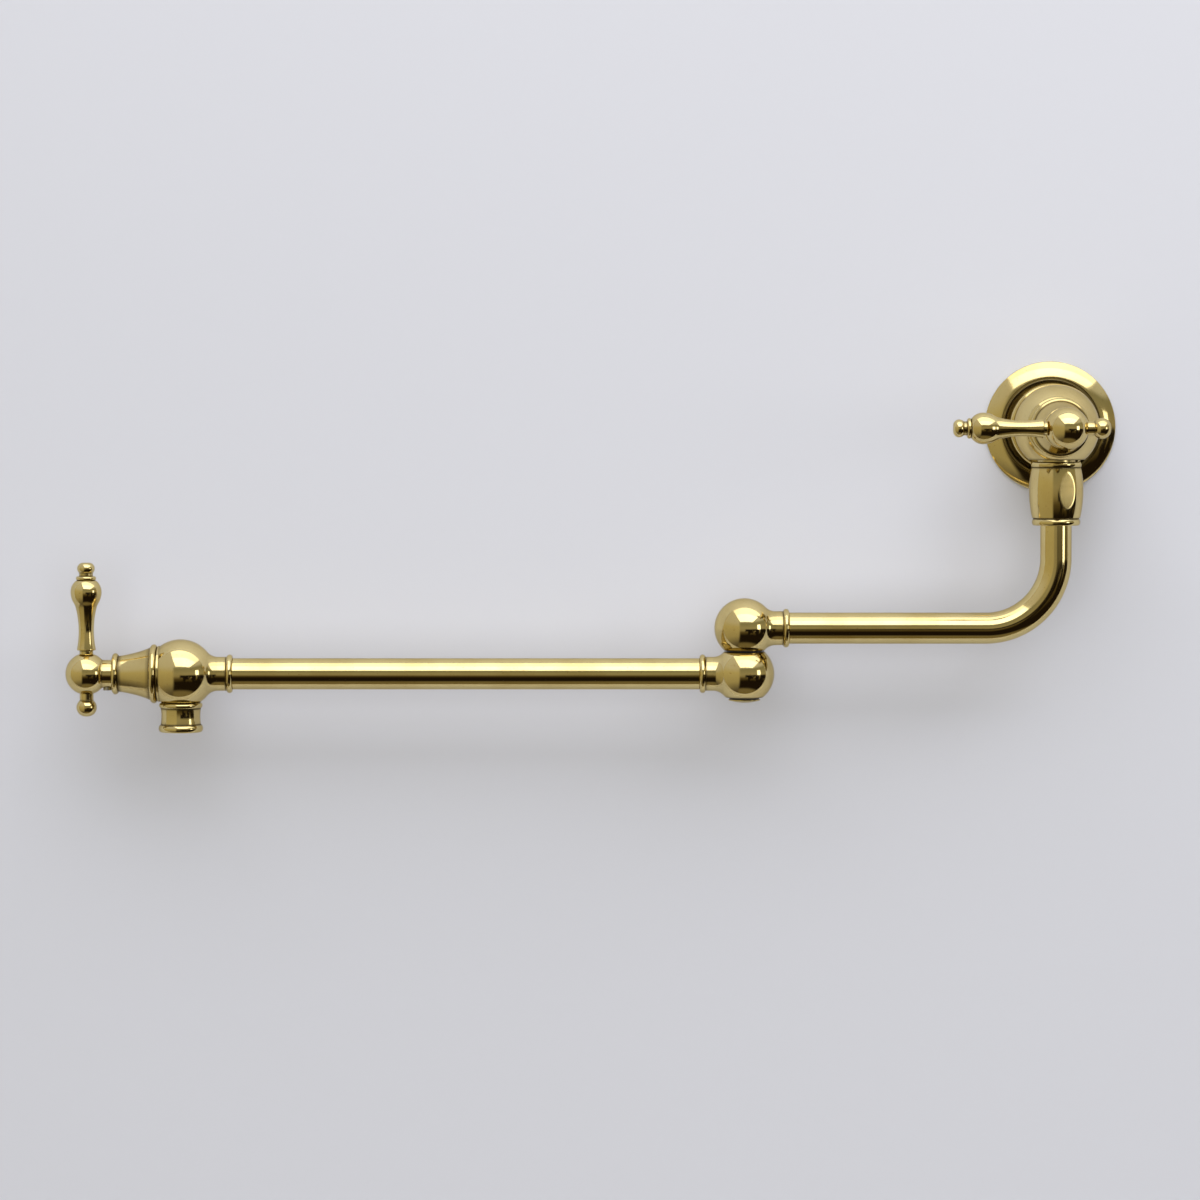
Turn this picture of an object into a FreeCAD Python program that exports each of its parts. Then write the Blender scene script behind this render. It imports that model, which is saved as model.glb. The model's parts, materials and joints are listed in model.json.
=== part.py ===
import FreeCAD, Part
import os
import re
import Sketcher

# Wall mounted pot filler with two jointed arms and two quarter-turn lever valves, in millimetres.
# +Z is up and the wall is the plane y = 0. The pot filler stands out towards -Y, and at rest its
# arms reach to -X along the wall. The origin is the centre of the threaded inlet at the wall.

driving = {
    # fits
    "turning_gap": (0.08, "radial clearance of a piece that turns in another"),
    "assembly_gap": (0.05, "radial clearance of a piece that is screwed or soldered into another"),
    "face_gap": (0.05, "clearance between flat faces that slide on each other"),
    # arms
    "tube_radius": (9.0, "outside of both arm tubes"),
    "tube_wall": (1.25, "wall of both arm tubes"),
    "bend_radius": (40.0, "bend of the elbow tube at its centreline"),
    "elbow_drop": (115.4, "wall valve's axis down to the inner arm's centreline"),
    "inner_reach": (179.0, "swivel axis to joint axis"),
    "outer_reach": (324.3, "joint axis to outlet axis"),
    "joint_pitch": (26.3, "inner arm's centreline down to the outer arm's"),
    # necks, beads and spigots of the turned ends
    "neck_radius": (9.8, "neck between a ball and its bead"),
    "neck_cove": (8.0, "hollow between a ball and its neck"),
    "arm_bead_width": (3.5, "bead at the end of an arm tube"),
    "arm_bead_rise": (1.35, "bead's height above the neck"),
    "spigot_length": (8.0, "spigot inside the tube's end"),
    "waterway_radius": (5.5, "water passage through a neck"),
    # wall flange
    "flange_radius": (38.0, "foot of the flange"),
    "flange_edge": (1.0, "square edge at the wall"),
    "flange_rim_width": (9.2, "rounded rim, from the foot inwards"),
    "flange_rim_height": (5.6, "rounded rim's height"),
    "flange_rim_rise": (0.7, "crown of the rounded rim"),
    "flange_step": (0.6, "step down inside the rim"),
    "flange_ledge": (1.4, "flat ledge inside the rim"),
    "flange_cove": (1.5, "hollow of the neck above the ledge"),
    "flange_shoulder": (2.4, "ledge's inner edge to the neck, across the hollow"),
    "flange_lip": (2.2, "rounded lip of the neck"),
    "flange_wall": (2.1, "flange's wall"),
    "flange_bore_gap": (0.25, "flange around the valve's rear neck"),
    "flange_ball_gap": (0.8, "flange's front to the valve's ball"),
    "flange_sleeve_gap": (2.0, "flange's lip to the swivel sleeve"),
    "flange_seal_radius": (0.62, "section of the flange's O-ring"),
    "gasket_width": (4.4, "foam gasket ring"),
    "gasket_height": (2.0, "foam gasket's thickness"),
    "gasket_margin": (4.6, "rim outside the gasket"),
    # valve bodies
    "standoff": (38.0, "wall to swivel axis"),
    "wall_ball_radius": (24.7, "ball of the wall valve"),
    "wall_neck_radius": (16.0, "wall valve's rear neck inside the flange"),
    "inlet_radius": (9.3, "root of the half inch inlet thread"),
    "inlet_length": (16.0, "depth of the inlet thread"),
    "spout_ball_radius": (19.9, "ball of the spout valve"),
    "spout_bead": (28.2, "outlet axis to the middle of the arm bead"),
    "seat_radius": (16.1, "round seat of the bonnet on the ball"),
    "seat_collar": (1.2, "straight collar below the seat"),
    "chamber_radius": (11.0, "water chamber round the cartridge"),
    "chamber_depth": (20.5, "seat to the floor of the chamber"),
    "thread_radius": (10.0, "thread that holds the cartridge"),
    "thread_depth": (6.0, "length of that thread"),
    # cartridge
    "seal_height": (1.5, "rubber ring below the cartridge"),
    "seal_bore": (5.0, "hole of that ring and of the passage under it"),
    "barrel_radius": (9.4, "cartridge below its thread"),
    "disc_radius": (7.6, "ceramic discs"),
    "disc_height": (2.4, "thickness of a ceramic disc"),
    "port_inner": (3.2, "inner radius of a disc's two ports"),
    "port_outer": (6.4, "outer radius of the ports"),
    "port_angle": (76.0, "angle that a port takes up"),
    "driver_width": (3.6, "bar of the stem that turns the moving disc"),
    "driver_height": (2.5, "height of the bar"),
    "roof_depth": (5.0, "seat down to the roof over the discs"),
    "shoulder_radius": (7.0, "shoulder that keeps the stem in"),
    "shoulder_height": (1.6, "thickness of the shoulder"),
    "window_height": (4.6, "side windows of the cartridge"),
    "window_width": (9.0, "width of a window"),
    "cap_radius": (12.5, "cartridge's collar on the seat"),
    "cap_height": (3.0, "thickness of the collar"),
    "gland_radius": (8.5, "cartridge's neck round the stem"),
    "gland_length": (12.0, "seat to the top of that neck"),
    "stem_radius": (5.0, "stem in the cartridge"),
    "stem_groove": (3.6, "floor of the stem's O-ring grooves"),
    "stem_groove_width": (2.0, "width of these grooves"),
    "clip_groove": (4.3, "floor of the clip's groove"),
    "clip_radius": (6.8, "outside of the retaining clip"),
    "clip_height": (0.9, "thickness of the clip"),
    "spline_radius": (4.0, "stem inside the hub"),
    # bonnet
    "bonnet_bead_width": (3.9, "large bead"),
    "bonnet_bead_foot": (15.2, "radius that the large bead stands on"),
    "bonnet_bead_rise": (1.8, "large bead's height"),
    "bonnet_foot": (0.5, "seat to the large bead"),
    "bonnet_length": (26.35, "seat to the bonnet's mouth"),
    "bonnet_neck_radius": (10.3, "thin end of the flare"),
    "bonnet_flare": (0.65, "hollow of the flare"),
    "small_bead_width": (3.5, "bead at the mouth"),
    "small_bead_rise": (1.6, "its height"),
    "bonnet_wall": (2.1, "bonnet's wall"),
    "mouth_gap": (0.25, "bonnet's mouth round the hub's neck"),
    "mouth_overlap": (1.15, "hub's neck inside the mouth"),
    # handle
    "hub_rise": (14.95, "bonnet's mouth to the middle of the hub"),
    "hub_radius": (12.1, "ball of the hub"),
    "hub_neck_radius": (8.0, "neck of the hub"),
    "hub_cove": (1.5, "hollow between the hub's ball and neck"),
    "stem_reach": (2.0, "stem beyond the middle of the hub"),
    "tenon_radius": (3.0, "screwed tenon of the lever and the counterball"),
    "tenon_end": (5.8, "middle of the hub to the tenon's end"),
    "recess_depth": (10.9, "middle of the hub to the floor of the lever's recess"),
    "rod_radius": (3.95, "thin rod beside the hub and below the tip"),
    "foot_start": (13.6, "middle of the hub to the lever's foot"),
    "foot_radius": (5.4, "lever's foot"),
    "foot_edge": (0.7, "straight edge of the foot"),
    "waist_end": (39.6, "middle of the hub to the end of the waist"),
    "waist_end_radius": (6.4, "lever where the waist ends"),
    "waist_hollow": (1.5, "hollow of the waist"),
    "bulb_at": (47.2, "middle of the hub to the widest place of the lever"),
    "bulb_radius": (8.9, "lever's widest place"),
    "collar_start": (53.7, "middle of the hub to the collar under the tip"),
    "collar_foot_radius": (5.7, "lever under the collar"),
    "collar_width": (2.5, "width of the collar"),
    "collar_rise": (0.9, "height of the collar"),
    "collar_root": (4.9, "radius that the collar stands on"),
    "tip_at": (60.6, "middle of the hub to the middle of the tip"),
    "tip_round": (3.4, "round side of the tip"),
    "tip_core": (1.65, "flat end of the tip"),
    "counterball_at": (19.4, "middle of the hub to the middle of the counterball"),
    "counterball_round": (5.2, "round side of the counterball"),
    "counterball_core": (0.65, "flat end of the counterball"),
    "screw_rise": (2.85, "bonnet's mouth to the middle of the set screw"),
    "screw_radius": (2.5, "set screw"),
    "screw_end": (9.5, "stem's axis to the outer end of the set screw"),
    "screw_key_radius": (1.4, "hexagon socket of the set screw"),
    "screw_key_depth": (2.2, "depth of that socket"),
    # swivel under the wall valve, measured down from the valve's axis
    "nipple_flat": (18.6, "flat under the ball"),
    "nipple_radius": (11.0, "threaded nipple of the valve body"),
    "nipple_end": (30.0, "end of the nipple"),
    "nipple_bore": (7.0, "water passage of the nipple"),
    "sleeve_gap": (1.0, "dark gap between the ball and the sleeve"),
    "sleeve_end": (56.2, "lower end of the sleeve"),
    "sleeve_bead": (3.5, "top bead's width"),
    "sleeve_bead_foot": (14.0, "radius that the top bead stands on"),
    "sleeve_bead_rise": (0.6, "top bead's height"),
    "barrel_top_radius": (14.3, "sleeve below its top bead"),
    "barrel_end_radius": (13.8, "sleeve above its lower bead"),
    "barrel_rise": (1.54, "belly of the sleeve"),
    "barrel_foot": (4.2, "belly's end above the sleeve's end"),
    "sleeve_groove": (0.5, "groove above the lower bead"),
    "lower_bead_foot": (13.2, "radius that the lower bead stands on"),
    "lower_bead_rise": (0.7, "lower bead's height"),
    "sleeve_lip": (3.0, "inward lip that carries the bush"),
    "sleeve_lip_gap": (0.4, "lip's hole round the tube"),
    "flat_distance": (14.75, "axis to the sleeve's wrench flats"),
    "flat_turn": (-19.5, "wrench flats from the front, in degrees, negative to the right"),
    "washer_height": (1.0, "washer on the end of the nipple"),
    "washer_bore": (7.6, "hole of that washer"),
    "collar_length": (13.8, "brazed collar that turns in the sleeve"),
    "collar_groove": (9.55, "floor of the collar's O-ring grooves"),
    "collar_bore": (6.0, "water passage of the collar"),
    "swivel_groove_width": (2.1, "width of these grooves"),
    # joint between the arms, measured down from the middle of the upper ball
    "joint_ball_radius": (17.3, "both balls of the joint"),
    "joint_bead": (24.0, "joint axis to the middle of an arm bead"),
    "joint_flat": (12.8, "middle of a ball to the flat that faces the other ball"),
    "cap_flat": (13.6, "middle of the lower ball to the flat above the cap"),
    "spindle_thread": (7.0, "screwed top of the spindle"),
    "spindle_top": (3.0, "top of the spindle"),
    "spindle_radius": (6.5, "spindle in the lower ball"),
    "spindle_bore": (3.4, "water passage of the spindle"),
    "spindle_groove": (4.75, "floor of the spindle's O-ring grooves"),
    "spindle_groove_width": (1.9, "width of these grooves"),
    "cross_hole": (3.0, "cross holes of the spindle"),
    "ball_chamber": (9.0, "ring shaped chamber round the cross holes"),
    "ball_chamber_half": (5.0, "half the height of that chamber"),
    "upper_chamber_top": (6.3, "top of the upper ball's chamber above its middle"),
    "joint_washer_radius": (10.1, "washer between the balls"),
    "cap_washer_radius": (8.6, "washer above the cap"),
    "cap_washer_height": (0.9, "its thickness"),
    "joint_cap_radius": (9.2, "cap screw's head"),
    "joint_cap_edge": (0.6, "straight edge of the head"),
    "joint_cap_dome": (1.5, "dome of the head"),
    "joint_cap_shank": (8.5, "cap's shank inside the spindle"),
    "cap_key_radius": (2.0, "hexagon socket of the cap"),
    "cap_key_depth": (1.6, "depth of that socket"),
    # outlet, measured down from the spout valve's axis
    "outlet_flat": (16.6, "flat under the ball"),
    "outlet_boss_radius": (9.5, "threaded boss"),
    "outlet_boss_end": (22.0, "end of the boss"),
    "outlet_bore": (6.5, "water passage of the boss"),
    "nozzle_end": (33.5, "end of the nozzle"),
    "nozzle_bead": (3.0, "width of the top bead"),
    "nozzle_bead_foot": (11.7, "radius that the top bead stands on"),
    "nozzle_bead_rise": (0.8, "height of the top bead"),
    "nozzle_waist": (11.6, "nozzle beside its beads"),
    "nozzle_hollow": (0.4, "hollow of the nozzle's waist"),
    "nozzle_foot": (4.2, "width of the lower bead"),
    "nozzle_foot_radius": (11.8, "radius that the lower bead stands on"),
    "nozzle_foot_rise": (1.0, "height of the lower bead"),
    "nozzle_lip": (2.2, "inward lip at the end"),
    "nozzle_lip_radius": (8.4, "hole of the lip"),
    "nozzle_washer_height": (1.5, "rubber washer over the aerator"),
    "aerator_wall": (1.6, "wall of the aerator's housing"),
    "plate_height": (1.6, "plastic flow plate at the top of the aerator"),
    "screen_height": (0.8, "metal screen at the bottom of the aerator"),
    "screen_inset": (0.6, "screen above the housing's end"),
    "plate_hole": (0.6, "holes of the flow plate"),
    "screen_hole": (0.62, "holes of the screen"),
}

derived = {
    "tube_bore": "tube_radius - tube_wall",
    "spigot_radius": "tube_radius - tube_wall - assembly_gap",
    # wall flange
    "flange_bore": "wall_neck_radius + flange_bore_gap",
    "sleeve_belly": "(barrel_top_radius + barrel_end_radius) / 2 + barrel_rise",
    "flange_depth": "standoff - sleeve_belly - flange_sleeve_gap",
    "flange_front": "standoff - sqrt(wall_ball_radius^2 - flange_bore^2) - flange_ball_gap",
    "rim_inner": "flange_radius - flange_rim_width",
    "ledge_inner": "rim_inner - flange_ledge",
    "flange_neck_radius": "ledge_inner - flange_shoulder",
    "ledge_height": "flange_rim_height - flange_step",
    "lip_rise": "flange_lip * (1 - cos(45))",
    "gasket_outer": "flange_radius - gasket_margin",
    "gasket_ceiling": "gasket_height + assembly_gap",
    "boss_radius": "flange_bore + flange_wall + flange_seal_radius",
    "boss_foot": "flange_rim_height",
    "flange_seal_at": "(boss_foot + flange_front) / 2",
    "flange_seal_width": "2.4 * flange_seal_radius",
    "flange_seal_middle": "wall_neck_radius + flange_seal_radius + 0.02",
    "flange_seal_floor": "flange_seal_middle + flange_seal_radius + 0.02",
    # valves
    "wall_seat": "sqrt(wall_ball_radius^2 - seat_radius^2) + seat_collar",
    "spout_seat": "sqrt(spout_ball_radius^2 - seat_radius^2) + seat_collar",
    "spout_reach": "inner_reach + outer_reach",
    "spout_drop": "elbow_drop + joint_pitch",
    "hub_distance": "bonnet_length + hub_rise",
    "screw_at": "bonnet_length + screw_rise",
    # cartridge, from the seat outwards
    "barrel_foot_at": "seal_height - chamber_depth",
    "barrel_bore": "disc_radius + turning_gap",
    "moving_disc_at": "barrel_foot_at + disc_height + face_gap",
    "driver_at": "moving_disc_at + disc_height",
    "driver_top": "driver_at + driver_height",
    "shoulder_top": "-(roof_depth + face_gap)",
    "shoulder_at": "shoulder_top - shoulder_height",
    "window_middle": "shoulder_at - 0.3 - window_height / 2",
    "clip_at": "gland_length + face_gap",
    "clip_top": "clip_at + clip_height",
    "stem_step": "clip_top + clip_height",
    "stem_top": "hub_distance + stem_reach",
    "stem_seal_radius": "(stem_radius + turning_gap - stem_groove) / 2 - 0.02",
    "stem_seal_middle": "(stem_radius + turning_gap + stem_groove) / 2",
    "stem_seal_first": "gland_length * 0.15",
    "stem_seal_second": "gland_length * 0.6",
    # bonnet and handle
    "bonnet_bead_top": "bonnet_foot + bonnet_bead_width",
    "small_bead_at": "bonnet_length - small_bead_width",
    "bonnet_mouth": "hub_neck_radius + mouth_gap",
    "bonnet_bore": "cap_radius + assembly_gap",
    "hub_foot": "bonnet_length - mouth_overlap - hub_distance",
    "tip_foot": "tip_at - sqrt(tip_round^2 - (rod_radius - tip_core)^2)",
    "counterball_foot": "counterball_at - sqrt(counterball_round^2 - (rod_radius - counterball_core)^2)",
    "bulb_crown_span": "collar_start - bulb_at",
    "bulb_crown_drop": "bulb_radius - collar_foot_radius",
    "bulb_crown": "(bulb_crown_span^2 + bulb_crown_drop^2) / (2 * bulb_crown_drop)",
    "bulb_back_span": "bulb_at - waist_end",
    "bulb_back_drop": "bulb_radius - waist_end_radius",
    "bulb_back": "(bulb_back_span^2 + bulb_back_drop^2) / (2 * bulb_back_drop)",
    # swivel
    "sleeve_top": "nipple_flat + sleeve_gap",
    "sleeve_bore": "nipple_radius + assembly_gap",
    "belly_end": "sleeve_end - barrel_foot",
    "lower_bead_at": "belly_end + sleeve_groove",
    "swivel_washer_at": "nipple_end + face_gap",
    "collar_at": "swivel_washer_at + washer_height + face_gap",
    "collar_end": "collar_at + collar_length",
    "collar_radius": "sleeve_bore - turning_gap",
    "bush_at": "collar_end + face_gap",
    "bush_end": "sleeve_end - sleeve_lip",
    "swivel_seal_radius": "(sleeve_bore - collar_groove) / 2 - 0.02",
    "swivel_seal_middle": "(sleeve_bore + collar_groove) / 2",
    "swivel_seal_first": "collar_at + collar_length * 0.28",
    "swivel_seal_second": "collar_at + collar_length * 0.72",
    # joint
    "lower_top": "joint_pitch - joint_flat",
    "lower_bottom": "joint_pitch + cap_flat",
    "joint_washer_height": "lower_top - joint_flat - 2 * face_gap",
    "cap_at": "lower_bottom + cap_washer_height + 2 * face_gap",
    "lower_bore": "spindle_radius + turning_gap",
    "spindle_seal_radius": "(lower_bore - spindle_groove) / 2 - 0.02",
    "spindle_seal_middle": "(lower_bore + spindle_groove) / 2",
    "spindle_seal_first": "(lower_top + joint_pitch - ball_chamber_half) / 2",
    "spindle_seal_second": "(lower_bottom + joint_pitch + ball_chamber_half) / 2",
    # outlet
    "nozzle_bore": "outlet_boss_radius + assembly_gap",
    "nozzle_bead_end": "outlet_flat + assembly_gap + nozzle_bead",
    "nozzle_waist_end": "nozzle_end - nozzle_foot",
    "nozzle_shelf": "nozzle_end - nozzle_lip",
    "nozzle_washer_at": "outlet_boss_end + assembly_gap",
    "aerator_at": "nozzle_washer_at + nozzle_washer_height + assembly_gap",
    "aerator_end": "nozzle_shelf - assembly_gap",
    "aerator_radius": "nozzle_bore - assembly_gap",
    "aerator_bore": "aerator_radius - aerator_wall",
    "screen_at": "aerator_end - screen_inset - screen_height",
}

doc = FreeCAD.newDocument("pot_filler")
sheet = doc.addObject("Spreadsheet::Sheet", "dims")
for row, (name, (number, note)) in enumerate(driving.items(), start=1):
    sheet.set("A%d" % row, note)
    sheet.set("B%d" % row, str(number))
    sheet.setAlias("B%d" % row, name)
doc.recompute()

word = re.compile(r"[a-z]+(?:_[a-z]+)*")
pieces = []
cuts = []


# Formulas: a text names the sizes above, and is turned into one that reads the sheet's cells.
def formula(text):
    def cell(match):
        name = match.group(0)
        if name in derived:
            return "(" + formula(derived[name]) + ")"
        return "dims." + name if name in driving else name
    return word.sub(cell, str(text))


def number(text):
    return float(sheet.evalExpression(formula(text)))


# Steps of an outline. An outline runs anticlockwise, with the metal on its left.
def to(x, y):
    return (x, y, "line", None)


def bow(x, y, rise):
    # an arc whose middle stands off its chord by rise, outwards where that is positive
    return (x, y, "bow", rise)


def bulge(x, y, radius):
    # an arc of less than half a turn that turns left
    return (x, y, "left", radius)


def hollow(x, y, radius):
    # an arc of less than half a turn that turns right
    return (x, y, "right", radius)


def arc_between(start, end, kind, measure):
    # centre, radius and sense of an arc
    chord = end - start
    side = FreeCAD.Vector(-chord.y, chord.x, 0) / chord.Length
    if kind == "bow":
        rise = abs(measure)
        radius = (chord.Length ** 2 / 4 + rise ** 2) / (2 * rise)
        offset = radius - rise
        turns_left = measure > 0
    else:
        radius = measure
        offset = (radius ** 2 - chord.Length ** 2 / 4) ** 0.5
        turns_left = kind == "left"
    centre = (start + end) / 2 + side * (offset if turns_left else -offset)
    return centre, radius, turns_left


def add_edge(sketch, start, end, kind, measure):
    # returns the new edge's index, and which of its ends the outline enters and leaves by
    if kind == "line":
        return sketch.addGeometry(Part.LineSegment(start, end), False), 1, 2
    centre, radius, turns_left = arc_between(start, end, kind, number(measure))
    first, last = (start, end) if turns_left else (end, start)
    angles = []
    for point in (first, last):
        spoke = point - centre
        angles.append(FreeCAD.Vector(1, 0, 0).getAngle(spoke) * (1 if spoke.y >= 0 else -1))
    circle = Part.Circle(centre, FreeCAD.Vector(0, 0, 1), radius)
    edge = sketch.addGeometry(Part.ArcOfCircle(circle, angles[0], angles[1]), False)
    return (edge, 1, 2) if turns_left else (edge, 2, 1)


def bind(sketch, constraint, text):
    index = sketch.addConstraint(constraint)
    sketch.setExpression("Constraints[%d]" % index, formula(text))


def draw(body, name, plane, steps, closed=True):
    # a fully constrained outline on one of the body's own origin planes
    sketch = body.newObject("Sketcher::SketchObject", name)
    support = [feature for feature in body.Origin.OriginFeatures if feature.Role == plane][0]
    sketch.AttachmentSupport = [(support, "")]
    sketch.MapMode = "FlatFace"
    points = [FreeCAD.Vector(number(x), number(y), 0) for x, y, kind, measure in steps]
    count = len(steps)
    previous = None
    first = None
    for index in range(count if closed else count - 1):
        x, y = steps[index][:2]
        end_x, end_y, kind, measure = steps[(index + 1) % count]
        edge, enters, leaves = add_edge(sketch, points[index], points[(index + 1) % count], kind, measure)
        bind(sketch, Sketcher.Constraint("DistanceX", -1, 1, edge, enters, points[index].x), x)
        bind(sketch, Sketcher.Constraint("DistanceY", -1, 1, edge, enters, points[index].y), y)
        if kind == "bow":
            text = "((({0}) - ({1}))^2 + (({2}) - ({3}))^2) / 4 + ({4})^2".format(end_x, x, end_y, y, measure)
            text = "({0}) / (2 * abs({1}))".format(text, measure)
            radius = arc_between(points[index], points[(index + 1) % count], kind, number(measure))[1]
            bind(sketch, Sketcher.Constraint("Radius", edge, radius), text)
        elif kind != "line":
            bind(sketch, Sketcher.Constraint("Radius", edge, number(measure)), measure)
        if previous:
            sketch.addConstraint(Sketcher.Constraint("Coincident", previous[0], previous[1], edge, enters))
        first = first or (edge, enters)
        previous = (edge, leaves)
    if closed:
        sketch.addConstraint(Sketcher.Constraint("Coincident", previous[0], previous[1], first[0], first[1]))
    else:
        x, y = steps[-1][:2]
        bind(sketch, Sketcher.Constraint("DistanceX", -1, 1, previous[0], previous[1], points[-1].x), x)
        bind(sketch, Sketcher.Constraint("DistanceY", -1, 1, previous[0], previous[1], points[-1].y), y)
    return sketch


def place(item, frame):
    origin, turn = frame
    item.Placement = FreeCAD.Placement(FreeCAD.Vector(*[number(text) for text in origin]), turn)
    for axis, text in zip("xyz", origin):
        item.setExpression("Placement.Base." + axis, formula(text))


def new_piece(name, frame):
    body = doc.addObject("PartDesign::Body", name)
    body.Label = name
    place(body, frame)
    pieces.append(body)
    return body


def turned(body, steps, axis="V_Axis", cut=False, angle=360):
    # turns an outline about the body's Z axis (V_Axis, outline in radius and height) or about its
    # X axis (H_Axis, outline in length and radius)
    count = len(body.Group)
    sketch = draw(body, "%s_outline_%d" % (body.Name, count), "XZ_Plane", steps)
    kind = "PartDesign::Groove" if cut else "PartDesign::Revolution"
    feature = body.newObject(kind, "%s_turned_%d" % (body.Name, count))
    feature.Profile = sketch
    feature.ReferenceAxis = (sketch, [axis])
    feature.Angle = angle
    if cut:
        cuts.append(feature)
    return feature


def drilled(body, radius, length, start, direction):
    # a round hole from start along direction
    hole = body.newObject("PartDesign::SubtractiveCylinder", "%s_hole_%d" % (body.Name, len(body.Group)))
    hole.setExpression("Radius", formula(radius))
    hole.setExpression("Height", formula(length))
    place(hole, (start, FreeCAD.Rotation(FreeCAD.Vector(0, 0, 1), FreeCAD.Vector(*direction))))
    cuts.append(hole)
    return hole


def keyed(body, radius, depth, start, direction):
    # a hexagon socket from start along direction
    socket = body.newObject("PartDesign::SubtractivePrism", "%s_key_%d" % (body.Name, len(body.Group)))
    socket.Polygon = 6
    socket.setExpression("Circumradius", formula(radius))
    socket.setExpression("Height", formula(depth))
    place(socket, (start, FreeCAD.Rotation(FreeCAD.Vector(0, 0, 1), FreeCAD.Vector(*direction))))
    cuts.append(socket)


def block(body, kind, length, width, height, corner, turn=FreeCAD.Rotation()):
    box = body.newObject(kind, "%s_block_%d" % (body.Name, len(body.Group)))
    box.setExpression("Length", formula(length))
    box.setExpression("Width", formula(width))
    box.setExpression("Height", formula(height))
    place(box, (corner, turn))
    if kind == "PartDesign::SubtractiveBox":
        cuts.append(box)


def repeat_round(body, feature, count):
    # repeats a feature about the body's Z axis
    pattern = body.newObject("PartDesign::PolarPattern", "%s_ring_%d" % (body.Name, len(body.Group)))
    pattern.Originals = [feature]
    pattern.Axis = ([item for item in body.Origin.OriginFeatures if item.Role == "Z_Axis"][0], [""])
    pattern.Angle = 360
    pattern.Occurrences = count
    body.Tip = pattern
    cuts.append(pattern)


def rings(name, frame, middle, section, heights):
    # a group of equal O-rings on one axis
    members = []
    for index, height in enumerate(heights):
        ring = doc.addObject("Part::Torus", "%s_%d" % (name, index + 1))
        ring.setExpression("Radius1", formula(middle))
        ring.setExpression("Radius2", formula(section))
        ring.setExpression("Placement.Base.z", formula(height))
        members.append(ring)
    group = doc.addObject("Part::Compound", name)
    group.Label = name
    group.Links = members
    place(group, frame)
    pieces.append(group)


def washer(name, frame, inner, outer, low, high):
    body = new_piece(name, frame)
    turned(body, [to(inner, low), to(outer, low), to(outer, high), to(inner, high)])
    return body


def channel(radius, floor, middle, width):
    # four corners of a groove in a rising outside face
    low = "(%s) - (%s) / 2" % (middle, width)
    high = "(%s) + (%s) / 2" % (middle, width)
    return [to(radius, low), to(floor, low), to(floor, high), to(radius, high)]


def facing(z_axis, x_axis):
    z_axis = FreeCAD.Vector(*z_axis)
    x_axis = FreeCAD.Vector(*x_axis)
    return FreeCAD.Rotation(x_axis, z_axis.cross(x_axis), z_axis, "ZXY")


left, right, front, down, up = (-1, 0, 0), (1, 0, 0), (0, -1, 0), (0, 0, -1), (0, 0, 1)
wall_centre = ("0", "-standoff", "0")
joint_centre = ("-inner_reach", "-standoff", "-elbow_drop")
lower_centre = ("-inner_reach", "-standoff", "-spout_drop")
spout_centre = ("-spout_reach", "-standoff", "-spout_drop")
wall_foot = (("0", "0", "0"), facing(front, down))
hanging_at_wall = (wall_centre, facing(down, right))
hanging_at_joint = (joint_centre, facing(down, right))
hanging_at_spout = (spout_centre, facing(down, right))


# Outline of a neck that leaves a ball towards -Z: spigot, bead, neck and hollow, up to the ball.
def neck_steps(ball, bead):
    bead_face = "%s + arm_bead_width / 2" % bead
    end = "%s + spigot_length" % bead_face
    reach = "sqrt((%s + neck_cove)^2 - (neck_radius + neck_cove)^2)" % ball
    meets_height = "{0} * {1} / ({0} + neck_cove)".format(ball, reach)
    meets_radius = "{0} * (neck_radius + neck_cove) / ({0} + neck_cove)".format(ball)
    return [
        to("0", "-(%s)" % end),
        to("spigot_radius", "-(%s)" % end),
        to("spigot_radius", "-(%s)" % bead_face),
        to("neck_radius", "-(%s)" % bead_face),
        bow("neck_radius", "-(%s - arm_bead_width / 2)" % bead, "arm_bead_rise"),
        to("neck_radius", "-(%s)" % reach),
        hollow(meets_radius, "-(%s)" % meets_height, "neck_cove"),
    ], end


def flatten(body, ball, distance, below=True):
    # cuts a ball flat at a distance below or above its middle
    edge = "%s + 1" % ball
    if below:
        steps = [to(distance, "0"), to(edge, "0"), to(edge, edge), to(distance, edge)]
    else:
        steps = [to("-(%s)" % edge, "0"), to("-(%s)" % distance, "0"), to("-(%s)" % distance, edge),
                 to("-(%s)" % edge, edge)]
    turned(body, steps, axis="H_Axis", cut=True)


def valve_inside(body, seat, passage_end, passage_radius, inlet_steps):
    # threaded chamber along Z with its inlet, and the outlet passage along X
    floor = "%s - chamber_depth" % seat
    thread_foot = "%s - thread_depth" % seat
    turned(body, inlet_steps + [
        to("seal_bore", floor),
        to("chamber_radius", floor),
        to("chamber_radius", thread_foot),
        to("thread_radius", thread_foot),
        to("thread_radius", "%s + 1" % seat),
        to("0", "%s + 1" % seat),
    ], cut=True)
    start = "chamber_radius - 1"
    turned(body, [
        to(start, "0"),
        to("%s + 1" % passage_end, "0"),
        to("%s + 1" % passage_end, passage_radius),
        to(start, passage_radius),
    ], axis="H_Axis", cut=True)


def boss(body, radius, end):
    # round boss under a ball
    turned(body, [to("2", "0"), to(end, "0"), to(end, radius), to("2", radius)], axis="H_Axis")


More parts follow.
